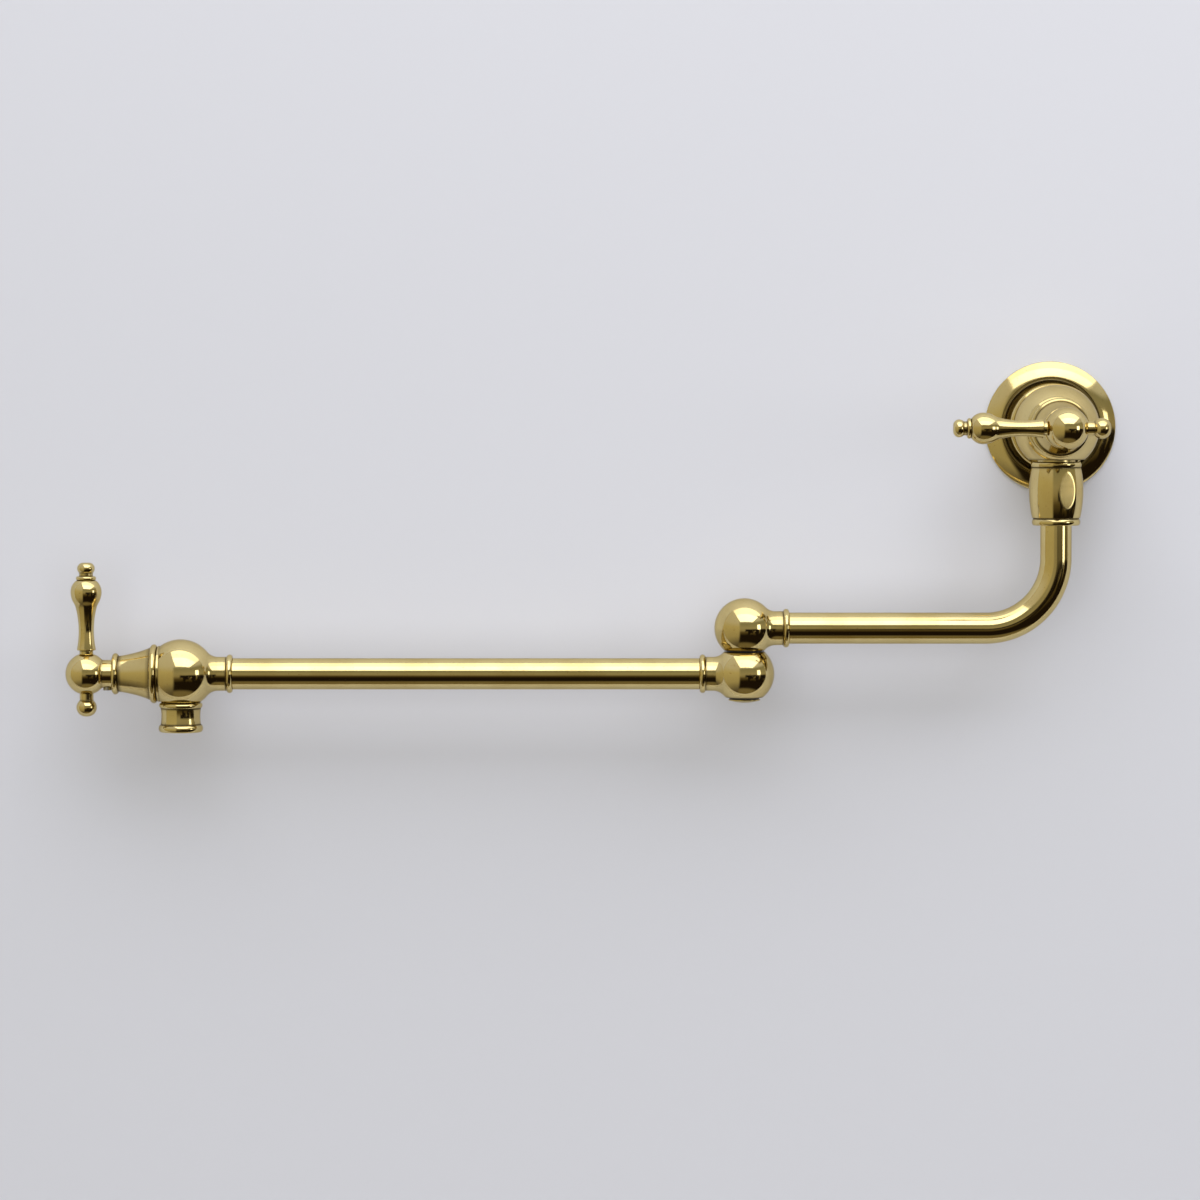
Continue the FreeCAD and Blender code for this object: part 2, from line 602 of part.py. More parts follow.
# Wall flange: rounded rim, ledge, hollow neck with a rounded lip, and a dished front round the ball.
flange = new_piece("wall_flange", wall_foot)
turned(flange, [
    to("gasket_outer", "0"),
    to("flange_radius", "0"),
    to("flange_radius", "flange_edge"),
    bow("rim_inner", "flange_rim_height", "flange_rim_rise"),
    to("rim_inner", "ledge_height"),
    to("ledge_inner", "ledge_height"),
    bow("flange_neck_radius", "flange_depth - flange_lip", "-flange_cove"),
    bow("flange_neck_radius - flange_lip", "flange_depth", "lip_rise"),
    to("flange_bore", "flange_front"),
    to("flange_bore", "flange_seal_at + flange_seal_width / 2"),
    to("flange_seal_floor", "flange_seal_at + flange_seal_width / 2"),
    to("flange_seal_floor", "flange_seal_at - flange_seal_width / 2"),
    to("flange_bore", "flange_seal_at - flange_seal_width / 2"),
    to("flange_bore", "boss_foot"),
    to("boss_radius", "boss_foot"),
    to("boss_radius", "flange_front - flange_wall"),
    to("flange_neck_radius - flange_wall", "flange_front - flange_wall"),
    to("flange_neck_radius - flange_wall", "ledge_height - flange_wall"),
    to("ledge_inner", "ledge_height - flange_wall"),
    to("ledge_inner", "gasket_ceiling"),
    to("gasket_outer", "gasket_ceiling"),
])
washer("flange_gasket", wall_foot, "gasket_outer - assembly_gap - gasket_width", "gasket_outer - assembly_gap",
       "0", "gasket_height")
rings("flange_o_ring", wall_foot, "flange_seal_middle", "flange_seal_radius", ["flange_seal_at"])

# Wall valve body: rear neck with the inlet thread, ball, seat for the bonnet and the swivel nipple.
wall_valve = new_piece("wall_valve_body", (wall_centre, facing(front, down)))
turned(wall_valve, [
    to("0", "-standoff"),
    to("wall_neck_radius", "-standoff"),
    to("wall_neck_radius", "-sqrt(wall_ball_radius^2 - wall_neck_radius^2)"),
    bulge("seat_radius", "wall_seat - seat_collar", "wall_ball_radius"),
    to("seat_radius", "wall_seat"),
    to("0", "wall_seat"),
])
flatten(wall_valve, "wall_ball_radius", "nipple_flat")
boss(wall_valve, "nipple_radius", "nipple_end")
valve_inside(wall_valve, "wall_seat", "nipple_end", "nipple_bore", [
    to("0", "-standoff - 1"),
    to("inlet_radius", "-standoff - 1"),
    to("inlet_radius", "inlet_length - standoff"),
    to("seal_bore", "inlet_length - standoff"),
])

# Swivel sleeve: barrel shaped nut between two beads, with two oval wrench flats.
sleeve = new_piece("swivel_sleeve", hanging_at_wall)
turned(sleeve, [
    to("sleeve_bore", "sleeve_top"),
    to("sleeve_bead_foot", "sleeve_top"),
    bow("sleeve_bead_foot", "sleeve_top + sleeve_bead", "sleeve_bead_rise"),
    to("barrel_top_radius", "sleeve_top + sleeve_bead"),
    bow("barrel_end_radius", "belly_end", "barrel_rise"),
    to("lower_bead_foot", "belly_end"),
    to("lower_bead_foot", "lower_bead_at"),
    bow("lower_bead_foot", "sleeve_end", "lower_bead_rise"),
    to("tube_radius + sleeve_lip_gap", "sleeve_end"),
    to("tube_radius + sleeve_lip_gap", "bush_end"),
    to("sleeve_bore", "bush_end"),
])
for half_turn in (0, 180):
    angle = number("flat_turn") + half_turn
    turn = FreeCAD.Rotation(FreeCAD.Vector(0, 0, 1), angle)
    offset = "(%d + flat_turn)" % half_turn
    corner = ("-flat_distance * sin({0}) - sleeve_end / 2 * cos({0})".format(offset),
              "flat_distance * cos({0}) - sleeve_end / 2 * sin({0})".format(offset), "sleeve_top")
    block(sleeve, "PartDesign::SubtractiveBox", "sleeve_end", "sleeve_belly", "sleeve_end - sleeve_top", corner, turn)
washer("swivel_washer", hanging_at_wall, "washer_bore", "nipple_radius", "swivel_washer_at",
       "swivel_washer_at + washer_height")
washer("swivel_bush", hanging_at_wall, "tube_radius + turning_gap", "sleeve_bore - assembly_gap", "bush_at", "bush_end")

# Inner arm: brazed collar that turns in the sleeve, bent tube and the upper ball of the joint.
nipple = new_piece("swivel_nipple", hanging_at_wall)
turned(
    nipple,
    [to("collar_bore", "collar_at"), to("collar_radius", "collar_at")]
    + channel("collar_radius", "collar_groove", "swivel_seal_first", "swivel_groove_width")
    + channel("collar_radius", "collar_groove", "swivel_seal_second", "swivel_groove_width")
    + [
        to("collar_radius", "collar_end"),
        to("spigot_radius", "collar_end"),
        to("spigot_radius", "collar_end + spigot_length"),
        to("collar_bore", "collar_end + spigot_length"),
    ],
)
rings("swivel_o_rings", hanging_at_wall, "swivel_seal_middle", "swivel_seal_radius",
      ["swivel_seal_first", "swivel_seal_second"])

elbow = new_piece("elbow_tube", (("0", "-standoff", "-collar_end"), FreeCAD.Rotation()))
elbow_path = draw(elbow, "elbow_path", "XZ_Plane", [
    to("0", "0"),
    to("0", "collar_end + bend_radius - elbow_drop"),
    hollow("-bend_radius", "collar_end - elbow_drop", "bend_radius"),
    to("joint_bead + arm_bead_width / 2 - inner_reach", "collar_end - elbow_drop"),
], closed=False)
for kind, radius in (("PartDesign::AdditivePipe", "tube_radius"), ("PartDesign::SubtractivePipe", "tube_bore")):
    section = elbow.newObject("Sketcher::SketchObject", "elbow_section_" + radius)
    section.AttachmentSupport = [([item for item in elbow.Origin.OriginFeatures if item.Role == "XY_Plane"][0], "")]
    section.MapMode = "FlatFace"
    circle = Part.Circle(FreeCAD.Vector(0, 0, 0), FreeCAD.Vector(0, 0, 1), number(radius))
    edge = section.addGeometry(circle, False)
    section.addConstraint(Sketcher.Constraint("Coincident", edge, 3, -1, 1))
    bind(section, Sketcher.Constraint("Radius", edge, number(radius)), radius)
    pipe = elbow.newObject(kind, "elbow_pipe_" + radius)
    pipe.Profile = section
    pipe.Spine = elbow_path
cuts.append(pipe)

upper_ball = new_piece("upper_joint_ball", (joint_centre, facing(left, down)))
neck, neck_end = neck_steps("joint_ball_radius", "joint_bead")
turned(upper_ball, neck + [bulge("0", "joint_ball_radius", "joint_ball_radius")])
flatten(upper_ball, "joint_ball_radius", "joint_flat")
turned(upper_ball, [
    to("-upper_chamber_top", "0"),
    to("joint_flat + 1", "0"),
    to("joint_flat + 1", "spindle_thread + assembly_gap"),
    to("-upper_chamber_top", "spindle_thread + assembly_gap"),
], axis="H_Axis", cut=True)
turned(upper_ball, [to("0", "-(%s + 1)" % neck_end), to("waterway_radius", "-(%s + 1)" % neck_end),
                    to("waterway_radius", "0"), to("0", "0")], cut=True)

# Hollow spindle: screwed into the upper ball, it carries the lower ball and passes the water on.
spindle = new_piece("joint_spindle", hanging_at_joint)
turned(
    spindle,
    [
        to("spindle_bore", "spindle_top"),
        to("spindle_thread", "spindle_top"),
        to("spindle_thread", "joint_flat"),
        to("spindle_radius", "joint_flat"),
    ]
    + channel("spindle_radius", "spindle_groove", "spindle_seal_first", "spindle_groove_width")
    + channel("spindle_radius", "spindle_groove", "spindle_seal_second", "spindle_groove_width")
    + [to("spindle_radius", "cap_at"), to("spindle_bore", "cap_at")],
)
for start, direction in ((("-spindle_thread", "0", "joint_pitch"), right), (("0", "spindle_thread", "joint_pitch"), front)):
    drilled(spindle, "cross_hole", "2 * spindle_thread", start, direction)
rings("spindle_o_rings", hanging_at_joint, "spindle_seal_middle", "spindle_seal_radius",
      ["spindle_seal_first", "spindle_seal_second"])
washer("joint_washer", hanging_at_joint, "lower_bore", "joint_washer_radius", "joint_flat + face_gap",
       "joint_flat + face_gap + joint_washer_height")
washer("cap_washer", hanging_at_joint, "lower_bore", "cap_washer_radius", "lower_bottom + face_gap",
       "lower_bottom + face_gap + cap_washer_height")
cap = new_piece("joint_cap", hanging_at_joint)
turned(cap, [
    to("0", "cap_at - joint_cap_shank"),
    to("spindle_bore - assembly_gap", "cap_at - joint_cap_shank"),
    to("spindle_bore - assembly_gap", "cap_at"),
    to("joint_cap_radius", "cap_at"),
    to("joint_cap_radius", "cap_at + joint_cap_edge"),
    bulge("0", "cap_at + joint_cap_edge + joint_cap_dome",
          "(joint_cap_radius^2 + joint_cap_dome^2) / (2 * joint_cap_dome)"),
])
keyed(cap, "cap_key_radius", "cap_key_depth + 1", ("0", "0", "cap_at + joint_cap_edge + joint_cap_dome + 1"), down)

# Outer arm: lower ball of the joint, straight tube and the spout valve.
lower_ball = new_piece("lower_joint_ball", (lower_centre, facing(right, down)))
neck, neck_end = neck_steps("joint_ball_radius", "joint_bead")
turned(lower_ball, neck + [bulge("0", "joint_ball_radius", "joint_ball_radius")])
flatten(lower_ball, "joint_ball_radius", "cap_flat")
flatten(lower_ball, "joint_ball_radius", "joint_flat", below=False)
turned(lower_ball, [
    to("-(joint_flat + 1)", "0"),
    to("cap_flat + 1", "0"),
    to("cap_flat + 1", "lower_bore"),
    to("ball_chamber_half", "lower_bore"),
    to("ball_chamber_half", "ball_chamber"),
    to("-ball_chamber_half", "ball_chamber"),
    to("-ball_chamber_half", "lower_bore"),
    to("-(joint_flat + 1)", "lower_bore"),
], axis="H_Axis", cut=True)
turned(lower_ball, [to("0", "-(%s + 1)" % neck_end), to("waterway_radius", "-(%s + 1)" % neck_end),
                    to("waterway_radius", "0"), to("0", "0")], cut=True)

washer("arm_tube", (lower_centre, facing(left, down)), "tube_bore", "tube_radius",
       "joint_bead + arm_bead_width / 2", "outer_reach - spout_bead - arm_bead_width / 2")

spout_valve = new_piece("spout_valve_body", (spout_centre, facing(left, down)))
neck, neck_end = neck_steps("spout_ball_radius", "spout_bead")
turned(spout_valve, neck + [
    bulge("seat_radius", "spout_seat - seat_collar", "spout_ball_radius"),
    to("seat_radius", "spout_seat"),
    to("0", "spout_seat"),
])
flatten(spout_valve, "spout_ball_radius", "outlet_flat")
boss(spout_valve, "outlet_boss_radius", "outlet_boss_end")
valve_inside(spout_valve, "spout_seat", "outlet_boss_end", "outlet_bore", [
    to("0", "-(%s + 1)" % neck_end),
    to("seal_bore", "-(%s + 1)" % neck_end),
])

# Outlet: waisted nozzle between two beads, with the aerator inside.
nozzle = new_piece("spout_nozzle", hanging_at_spout)
turned(nozzle, [
    to("nozzle_bore", "outlet_flat + assembly_gap"),
    to("nozzle_bead_foot", "outlet_flat + assembly_gap"),
    bow("nozzle_bead_foot", "nozzle_bead_end", "nozzle_bead_rise"),
    to("nozzle_waist", "nozzle_bead_end"),
    bow("nozzle_waist", "nozzle_waist_end", "-nozzle_hollow"),
    to("nozzle_foot_radius", "nozzle_waist_end"),
    bow("nozzle_foot_radius", "nozzle_end", "nozzle_foot_rise"),
    to("nozzle_lip_radius", "nozzle_end"),
    to("nozzle_lip_radius", "nozzle_shelf"),
    to("nozzle_bore", "nozzle_shelf"),
])
washer("nozzle_washer", hanging_at_spout, "outlet_bore", "outlet_boss_radius", "nozzle_washer_at",
       "nozzle_washer_at + nozzle_washer_height")
washer("aerator_housing", hanging_at_spout, "aerator_bore", "aerator_radius", "aerator_at", "aerator_end")
for name, hole, low, height, circles in (
    ("flow_plate", "plate_hole", "aerator_at", "plate_height", ((0.35, 6), (0.72, 12))),
    ("aerator_screen", "screen_hole", "screen_at", "screen_height", ((0.28, 6), (0.55, 12), (0.82, 18))),
):
    plate = washer(name, hanging_at_spout, hole, "aerator_bore - assembly_gap", low, "%s + %s" % (low, height))
    for share, count in circles:
        start = ("aerator_bore * %s" % share, "0", "%s - 1" % low)
        repeat_round(plate, drilled(plate, hole, "%s + 2" % height, start, up), count)


# Valve insides, bonnet and handle, the same on both valves.
def cartridge(side, frame):
    body = new_piece(side + "_cartridge", frame)
    turned(body, [
        to("barrel_bore", "barrel_foot_at"),
        to("barrel_radius", "barrel_foot_at"),
        to("barrel_radius", "-thread_depth"),
        to("thread_radius - assembly_gap", "-thread_depth"),
        to("thread_radius - assembly_gap", "0"),
        to("cap_radius", "0"),
        to("cap_radius", "cap_height"),
        to("gland_radius", "cap_height"),
        to("gland_radius", "gland_length"),
        to("stem_radius + turning_gap", "gland_length"),
        to("stem_radius + turning_gap", "-roof_depth"),
        to("barrel_bore", "-roof_depth"),
    ])
    block(body, "PartDesign::SubtractiveBox", "window_width", "4 * barrel_radius", "window_height",
          ("-window_width / 2", "-2 * barrel_radius", "window_middle - window_height / 2"))
    washer(side + "_seat_seal", frame, "seal_bore", "barrel_radius", "-chamber_depth", "barrel_foot_at")


def ceramic_disc(name, frame, low):
    body = new_piece(name, frame)
    high = "%s + disc_height" % low
    turned(body, [to("0", low), to("disc_radius", low), to("disc_radius", high), to("0", high)])
    port = turned(body, [to("port_inner", "%s - 1" % low), to("port_outer", "%s - 1" % low),
                         to("port_outer", "%s + 1" % high), to("port_inner", "%s + 1" % high)],
                  cut=True)
    port.Midplane = True
    port.setExpression("Angle", formula("port_angle"))
    repeat_round(body, port, 2)


def bonnet(side, frame):
    body = new_piece(side + "_bonnet", frame)
    turned(body, [
        to("bonnet_bore", "0"),
        to("bonnet_bead_foot", "0"),
        to("bonnet_bead_foot", "bonnet_foot"),
        bow("bonnet_bead_foot", "bonnet_bead_top", "bonnet_bead_rise"),
        bow("bonnet_neck_radius", "small_bead_at", "-bonnet_flare"),
        bow("bonnet_neck_radius", "bonnet_length", "small_bead_rise"),
        to("bonnet_mouth", "bonnet_length"),
        to("bonnet_mouth", "small_bead_at - bonnet_wall"),
        to("bonnet_bore", "bonnet_bead_top + bonnet_wall"),
    ])


def stem(side, frame):
    body = new_piece(side + "_stem", frame)
    turned(
        body,
        [
            to("0", "driver_at"),
            to("driver_width / 2", "driver_at"),
            to("driver_width / 2", "driver_top"),
            to("stem_radius", "driver_top"),
            to("stem_radius", "shoulder_at"),
            to("shoulder_radius", "shoulder_at"),
            to("shoulder_radius", "shoulder_top"),
            to("stem_radius", "shoulder_top"),
        ]
        + channel("stem_radius", "stem_groove", "stem_seal_first", "stem_groove_width")
        + channel("stem_radius", "stem_groove", "stem_seal_second", "stem_groove_width")
        + [
            to("stem_radius", "clip_at"),
            to("clip_groove", "clip_at"),
            to("clip_groove", "clip_top"),
            to("stem_radius", "clip_top"),
            to("stem_radius", "stem_step"),
            to("spline_radius", "stem_step"),
            to("spline_radius", "stem_top"),
            to("0", "stem_top"),
        ],
    )
    block(body, "PartDesign::AdditiveBox", "driver_width", "2 * disc_radius - 1", "driver_height + 0.5",
          ("-driver_width / 2", "0.5 - disc_radius", "driver_at"))
    rings(side + "_stem_o_rings", frame, "stem_seal_middle", "stem_seal_radius",
          ["stem_seal_first", "stem_seal_second"])
    clip = new_piece(side + "_stem_clip", frame)
    turned(clip, [
        to("clip_groove + assembly_gap", "clip_at"),
        to("clip_radius", "clip_at"),
        to("clip_radius", "clip_top - assembly_gap"),
        to("clip_groove + assembly_gap", "clip_top - assembly_gap"),
    ], angle=300)


def hub(side, frame):
    # ball and neck with the stem's bore, two recessed holes for the tenons and the screw's hole
    body = new_piece(side + "_hub", frame)
    reach = "sqrt((hub_radius + hub_cove)^2 - (hub_neck_radius + hub_cove)^2)"
    turned(body, [
        to("0", "hub_foot"),
        to("hub_neck_radius", "hub_foot"),
        to("hub_neck_radius", "-%s" % reach),
        hollow("hub_radius * (hub_neck_radius + hub_cove) / (hub_radius + hub_cove)",
               "-hub_radius * %s / (hub_radius + hub_cove)" % reach, "hub_cove"),
        bulge("0", "hub_radius", "hub_radius"),
    ])
    drilled(body, "spline_radius + assembly_gap", "stem_reach + 1 - hub_foot", ("0", "0", "hub_foot - 0.5"), up)
    for side_sign, direction in (("", right), ("-", left)):
        drilled(body, "tenon_radius + assembly_gap", "hub_radius", (side_sign + "(tenon_end - 0.2)", "0", "0"), direction)
        drilled(body, "rod_radius + assembly_gap", "hub_radius", (side_sign + "recess_depth", "0", "0"), direction)
    drilled(body, "screw_radius + assembly_gap", "hub_neck_radius", ("-spline_radius", "0", "screw_at - hub_distance"),
            left)


def lever(side, frame):
    body = new_piece(side + "_lever", frame)
    turned(body, [
        to("0", "tenon_end"),
        to("tenon_radius", "tenon_end"),
        to("tenon_radius", "recess_depth"),
        to("rod_radius", "recess_depth"),
        to("rod_radius", "foot_start"),
        to("foot_radius", "foot_start"),
        to("foot_radius", "foot_start + foot_edge"),
        bow("waist_end_radius", "waist_end", "-waist_hollow"),
        bulge("bulb_radius", "bulb_at", "bulb_back"),
        bulge("collar_foot_radius", "collar_start", "bulb_crown"),
        to("collar_root", "collar_start"),
        bow("collar_root", "collar_start + collar_width", "collar_rise"),
        to("rod_radius", "collar_start + collar_width"),
        to("rod_radius", "tip_foot"),
        bulge("tip_core", "tip_at + tip_round", "tip_round"),
        to("0", "tip_at + tip_round"),
    ])


def counterball(side, frame):
    body = new_piece(side + "_counterball", frame)
    turned(body, [
        to("0", "tenon_end"),
        to("tenon_radius", "tenon_end"),
        to("tenon_radius", "recess_depth"),
        to("rod_radius", "recess_depth"),
        to("rod_radius", "counterball_foot"),
        bulge("counterball_core", "counterball_at + counterball_round", "counterball_round"),
        to("0", "counterball_at + counterball_round"),
    ])


def set_screw(side, frame):
    body = new_piece(side + "_set_screw", frame)
    turned(body, [to("0", "spline_radius"), to("screw_radius", "spline_radius"), to("screw_radius", "screw_end"),
                  to("0", "screw_end")])
    keyed(body, "screw_key_radius", "screw_key_depth + 1", ("0", "0", "screw_end + 1"), down)


# Where each valve's seat and hub are, which way it faces and which way its lever points. At rest
# the ports of the moving disc stand a quarter turn from the fixed disc's, so both valves are shut.
valves = (
    ("wall", front, left, up, ("0", "-standoff - {0}", "0"), "wall_seat"),
    ("spout", left, up, front, ("-spout_reach - {0}", "-standoff", "-spout_drop"), "spout_seat"),
)
for side, outward, points, across, origin, seat in valves:
    seat_origin = tuple(text.format(seat) for text in origin)
    hub_origin = tuple(text.format("(%s + hub_distance)" % seat) for text in origin)
    screw_origin = tuple(text.format("(%s + screw_at)" % seat) for text in origin)
    back = tuple(-part for part in points)
    at_seat = (seat_origin, facing(outward, down))
    handle_turn = facing(outward, points)
    cartridge(side, at_seat)
    ceramic_disc(side + "_fixed_disc", (seat_origin, facing(outward, across)), "barrel_foot_at")
    bonnet(side, at_seat)
    stem(side, (seat_origin, handle_turn))
    ceramic_disc(side + "_moving_disc", (seat_origin, handle_turn), "moving_disc_at")
    hub(side, (hub_origin, handle_turn))
    lever(side, (hub_origin, facing(points, across)))
    counterball(side, (hub_origin, facing(back, across)))
    set_screw(side, (screw_origin, facing(back, across)))

doc.recompute()
for item in doc.Objects:
    if {"Invalid", "Error"} & set(item.State):
        raise RuntimeError("%s failed: %s" % (item.Name, item.State))
for feature in cuts:
    if feature.BaseFeature and feature.Shape.Volume > feature.BaseFeature.Shape.Volume - 0.01:
        raise RuntimeError("%s cuts nothing" % feature.Name)
for piece in pieces:
    if piece.Shape.isNull() or not piece.Shape.isValid():
        raise RuntimeError("%s has no valid shape" % piece.Label)

os.makedirs("parts", exist_ok=True)
for piece in pieces:
    piece.Shape.exportStep("parts/%s.step" % piece.Label)
    print("%-20s %2d solid %10.1f mm3" % (piece.Label, len(piece.Shape.Solids), piece.Shape.Volume))
print("%d nodes" % len(pieces))
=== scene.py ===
import json
import math

import bpy
import numpy as np
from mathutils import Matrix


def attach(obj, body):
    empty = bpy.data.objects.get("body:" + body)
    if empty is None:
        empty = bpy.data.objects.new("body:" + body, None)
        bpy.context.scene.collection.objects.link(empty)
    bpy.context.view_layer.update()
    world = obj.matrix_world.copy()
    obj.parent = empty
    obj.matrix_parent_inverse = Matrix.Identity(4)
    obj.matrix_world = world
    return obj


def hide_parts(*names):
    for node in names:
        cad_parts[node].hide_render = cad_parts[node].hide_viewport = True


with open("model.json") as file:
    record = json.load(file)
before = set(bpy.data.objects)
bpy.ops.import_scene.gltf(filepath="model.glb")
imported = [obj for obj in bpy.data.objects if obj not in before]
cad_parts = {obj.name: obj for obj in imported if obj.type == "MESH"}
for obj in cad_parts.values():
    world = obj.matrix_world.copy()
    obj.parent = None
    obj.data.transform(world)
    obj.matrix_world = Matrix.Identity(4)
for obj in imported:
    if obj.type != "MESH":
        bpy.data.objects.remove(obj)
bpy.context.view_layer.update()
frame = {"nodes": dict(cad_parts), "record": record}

scene = bpy.context.scene
mm = 0.001
slotOf = {part["node"]: part["material_slot"] for part in frame["record"]["subparts"]}

# Places that several pieces share, in millimetres in the part's frame.
layout = {
    "standoff": 38.0,  # wall to the plane of both arms
    "innerReach": 179.0,  # wall valve to joint
    "outerReach": 324.3,  # joint to spout
    "elbowDrop": 115.4,  # wall valve down to the inner arm
    "jointPitch": 26.3,  # inner arm down to the outer arm
    "wallSeat": 19.932,  # each ball's middle to the foot of its bonnet
    "spoutSeat": 12.896,
    "hubDistance": 41.3,  # foot of a bonnet to the hub's middle
}

wallCentre = (0.0, -layout["standoff"], 0.0)
jointCentre = (-layout["innerReach"], -layout["standoff"], -layout["elbowDrop"])
lowerCentre = (jointCentre[0], jointCentre[1], jointCentre[2] - layout["jointPitch"])
spoutCentre = (lowerCentre[0] - layout["outerReach"], lowerCentre[1], lowerCentre[2])

leftward, rightward = (-1, 0, 0), (1, 0, 0)
outward, downward, upward = (0, -1, 0), (0, 0, -1), (0, 0, 1)

# How every outline is sampled.
tracing = {
    "soft": 0.12,  # how far a corner is cut back where its step says nothing
    "softShare": 0.45,  # the most of an edge that one corner may take
    "smooth": 0.9995,  # cosine of the turn below which two edges meet in a corner
    "bridge": 4,  # samples on a corner's curve
    "nearEnds": (0.0, 0.4, 1.2),  # where a plain line is sampled, from both of its ends
}
# How far the painted shade spreads: along the outline from a hollow corner, and in towards the rim of a flat.
shadePainting = {"reach": 0.35, "flatReach": 1.3}
pressing = {"soften": 0.06, "steepest": 40.0}  # width of the smooth minimum, and where its share is cut off
uvLength = 100.0  # millimetres along a piece for each unit of V
# How far the usual corners are cut back.
crisp, fine, broken, eased, rounded, blunt = 0.1, 0.15, 0.2, 0.25, 0.3, 0.4


# A place is an origin and three axes: local Z, local X, and Y from their cross product.
def place(origin, zAxis, xAxis):
    z, x = np.array(zAxis, float), np.array(xAxis, float)
    return np.array(origin, float), np.stack([x, np.cross(z, x), z])


def shifted(base, along):
    origin, turn = base
    return origin + turn[2] * along, turn


# An outline is a list of steps, each the edge that leads to its point, run with the metal on the left.
def to(x, y, soft=None):
    return (x, y, "line", 0.0, soft)


def bow(x, y, rise, soft=None):
    return (x, y, "bow", rise, soft)


def bulge(x, y, radius, soft=None):
    return (x, y, "left", radius, soft)


def hollow(x, y, radius, soft=None):
    return (x, y, "right", radius, soft)


# A plain ring from its bore out to its radius, between two heights.
def ring(bore, radius, low, high, softLow=None, softHigh=None):
    return [to(bore, low), to(radius, low, softLow), to(radius, high, softHigh), to(bore, high)]


# Radius of the arc that rises by rise over half its chord: (half^2 + rise^2) / (2 rise).
def arcRadius(half, rise):
    return (half ** 2 + rise ** 2) / (2 * rise)


# A hollow that touches both a neck and a ball: it leaves the neck at the height
# sqrt((ball + cove)^2 - (neck + cove)^2) and meets the ball on the line between the two centres.
def coveSteps(ball, neck, cove):
    reach = math.sqrt((ball + cove) ** 2 - (neck + cove) ** 2)
    share = ball / (ball + cove)
    return [to(neck, -reach), hollow((neck + cove) * share, -reach * share, cove)]


# One edge as its length, its point and unit tangent as functions of the distance s along it, and its
# radius, 0 for a line. A line is start + s * direction; an arc is centre + radius * (cos, sin) of an angle
# that runs with s / radius.
def edgeOf(start, end, kind, amount):
    chord = end - start
    span = np.hypot(*chord)
    if kind == "line":
        direction = chord / span
        return (span, lambda s: start + np.outer(s, direction),
                lambda s: np.tile(direction, (len(s), 1)), 0.0)
    if kind == "bow":
        radius = arcRadius(span / 2, abs(amount))
        offset, sense = radius - abs(amount), 1.0 if amount > 0 else -1.0
    else:
        radius = amount
        offset = math.sqrt(max(radius * radius - span * span / 4, 0.0))
        sense = 1.0 if kind == "left" else -1.0
    side = np.array([-chord[1], chord[0]]) / span
    centre = (start + end) / 2 + side * offset * sense
    first = math.atan2(*(start - centre)[::-1])
    last = math.atan2(*(end - centre)[::-1])
    sweep = (sense * (last - first)) % (2 * math.pi)

    def at(s):
        angle = first + sense * s / radius
        return centre + radius * np.stack([np.cos(angle), np.sin(angle)], 1)

    def heading(s):
        angle = first + sense * s / radius
        return sense * np.stack([-np.sin(angle), np.cos(angle)], 1)

    return sweep * radius, at, heading, radius


# The curve over a corner, from point a with tangent ta to b with tb: the quadratic Bezier curve
# (1 - t)^2 a + 2 t (1 - t) m + t^2 b, where m is the point at which the two tangents meet.
def bridge(a, ta, b, tb):
    cross, gap = ta[0] * tb[1] - ta[1] * tb[0], b - a
    parallel = abs(cross) < 1e-6
    middle = (a + b) / 2 if parallel else a + ta * ((gap[0] * tb[1] - gap[1] * tb[0]) / cross)
    t = np.linspace(0, 1, tracing["bridge"] + 2)[1:-1, None]
    curve = (1 - t) ** 2 * a + 2 * t * (1 - t) * middle + t * t * b
    slope = 2 * (1 - t) * (middle - a) + 2 * t * (b - middle)
    return curve, slope / np.linalg.norm(slope, axis=1, keepdims=True)


# Samples an outline as points and unit tangents. Each corner is cut back on both sides and bridged, so
# the tangent never jumps. arcStep is the largest angle and bowStep the largest distance between samples
# on an arc, and lineStep the distance on a line; without it a line has samples near its ends only.
def trace(steps, closed=True, soft=tracing["soft"], arcStep=0.06, lineStep=None, bowStep=math.inf):
    count = len(steps)
    edges = []
    for index in range(count if closed else count - 1):
        x, y, kind, amount, _ = steps[(index + 1) % count]
        edges.append(edgeOf(np.array(steps[index][:2], float), np.array([x, y], float), kind, amount))
    total = len(edges)
    cuts = np.zeros(total + 1)
    for index in range(0 if closed else 1, total):
        before, after = edges[index - 1], edges[index]
        ahead = after[2](np.zeros(1))[0]
        behind = before[2](np.array([before[0]]))[0]
        if float(ahead @ behind) < tracing["smooth"]:
            wanted = steps[index][4] if steps[index][4] is not None else soft
            cuts[index] = min(wanted, tracing["softShare"] * min(before[0], after[0]))
    cuts[total] = cuts[0] if closed else 0.0
    points, headings = [], []
    for index, (length, at, heading, radius) in enumerate(edges):
        low, high = cuts[index], length - cuts[index + 1]
        if radius or lineStep:
            density = max(1 / radius / arcStep, 1 / bowStep) if radius else 1 / lineStep
            s = np.linspace(low, high, max(1, math.ceil((high - low) * density)) + 1)
        else:
            near = np.array(tracing["nearEnds"])
            near = near[near < (high - low) / 2]
            s = np.unique(np.concatenate([low + near, high - near]))
        points.append(at(s))
        headings.append(heading(s))
        if cuts[index + 1] > 0:
            _, nextAt, nextHeading, _ = edges[(index + 1) % total]
            cut = np.array([cuts[index + 1]])
            curve, slope = bridge(points[-1][-1], headings[-1][-1], nextAt(cut)[0], nextHeading(cut)[0])
            points.append(curve)
            headings.append(slope)
        elif index < total - 1 or closed:
            points[-1], headings[-1] = points[-1][:-1], headings[-1][:-1]
    return np.concatenate(points), np.concatenate(headings)
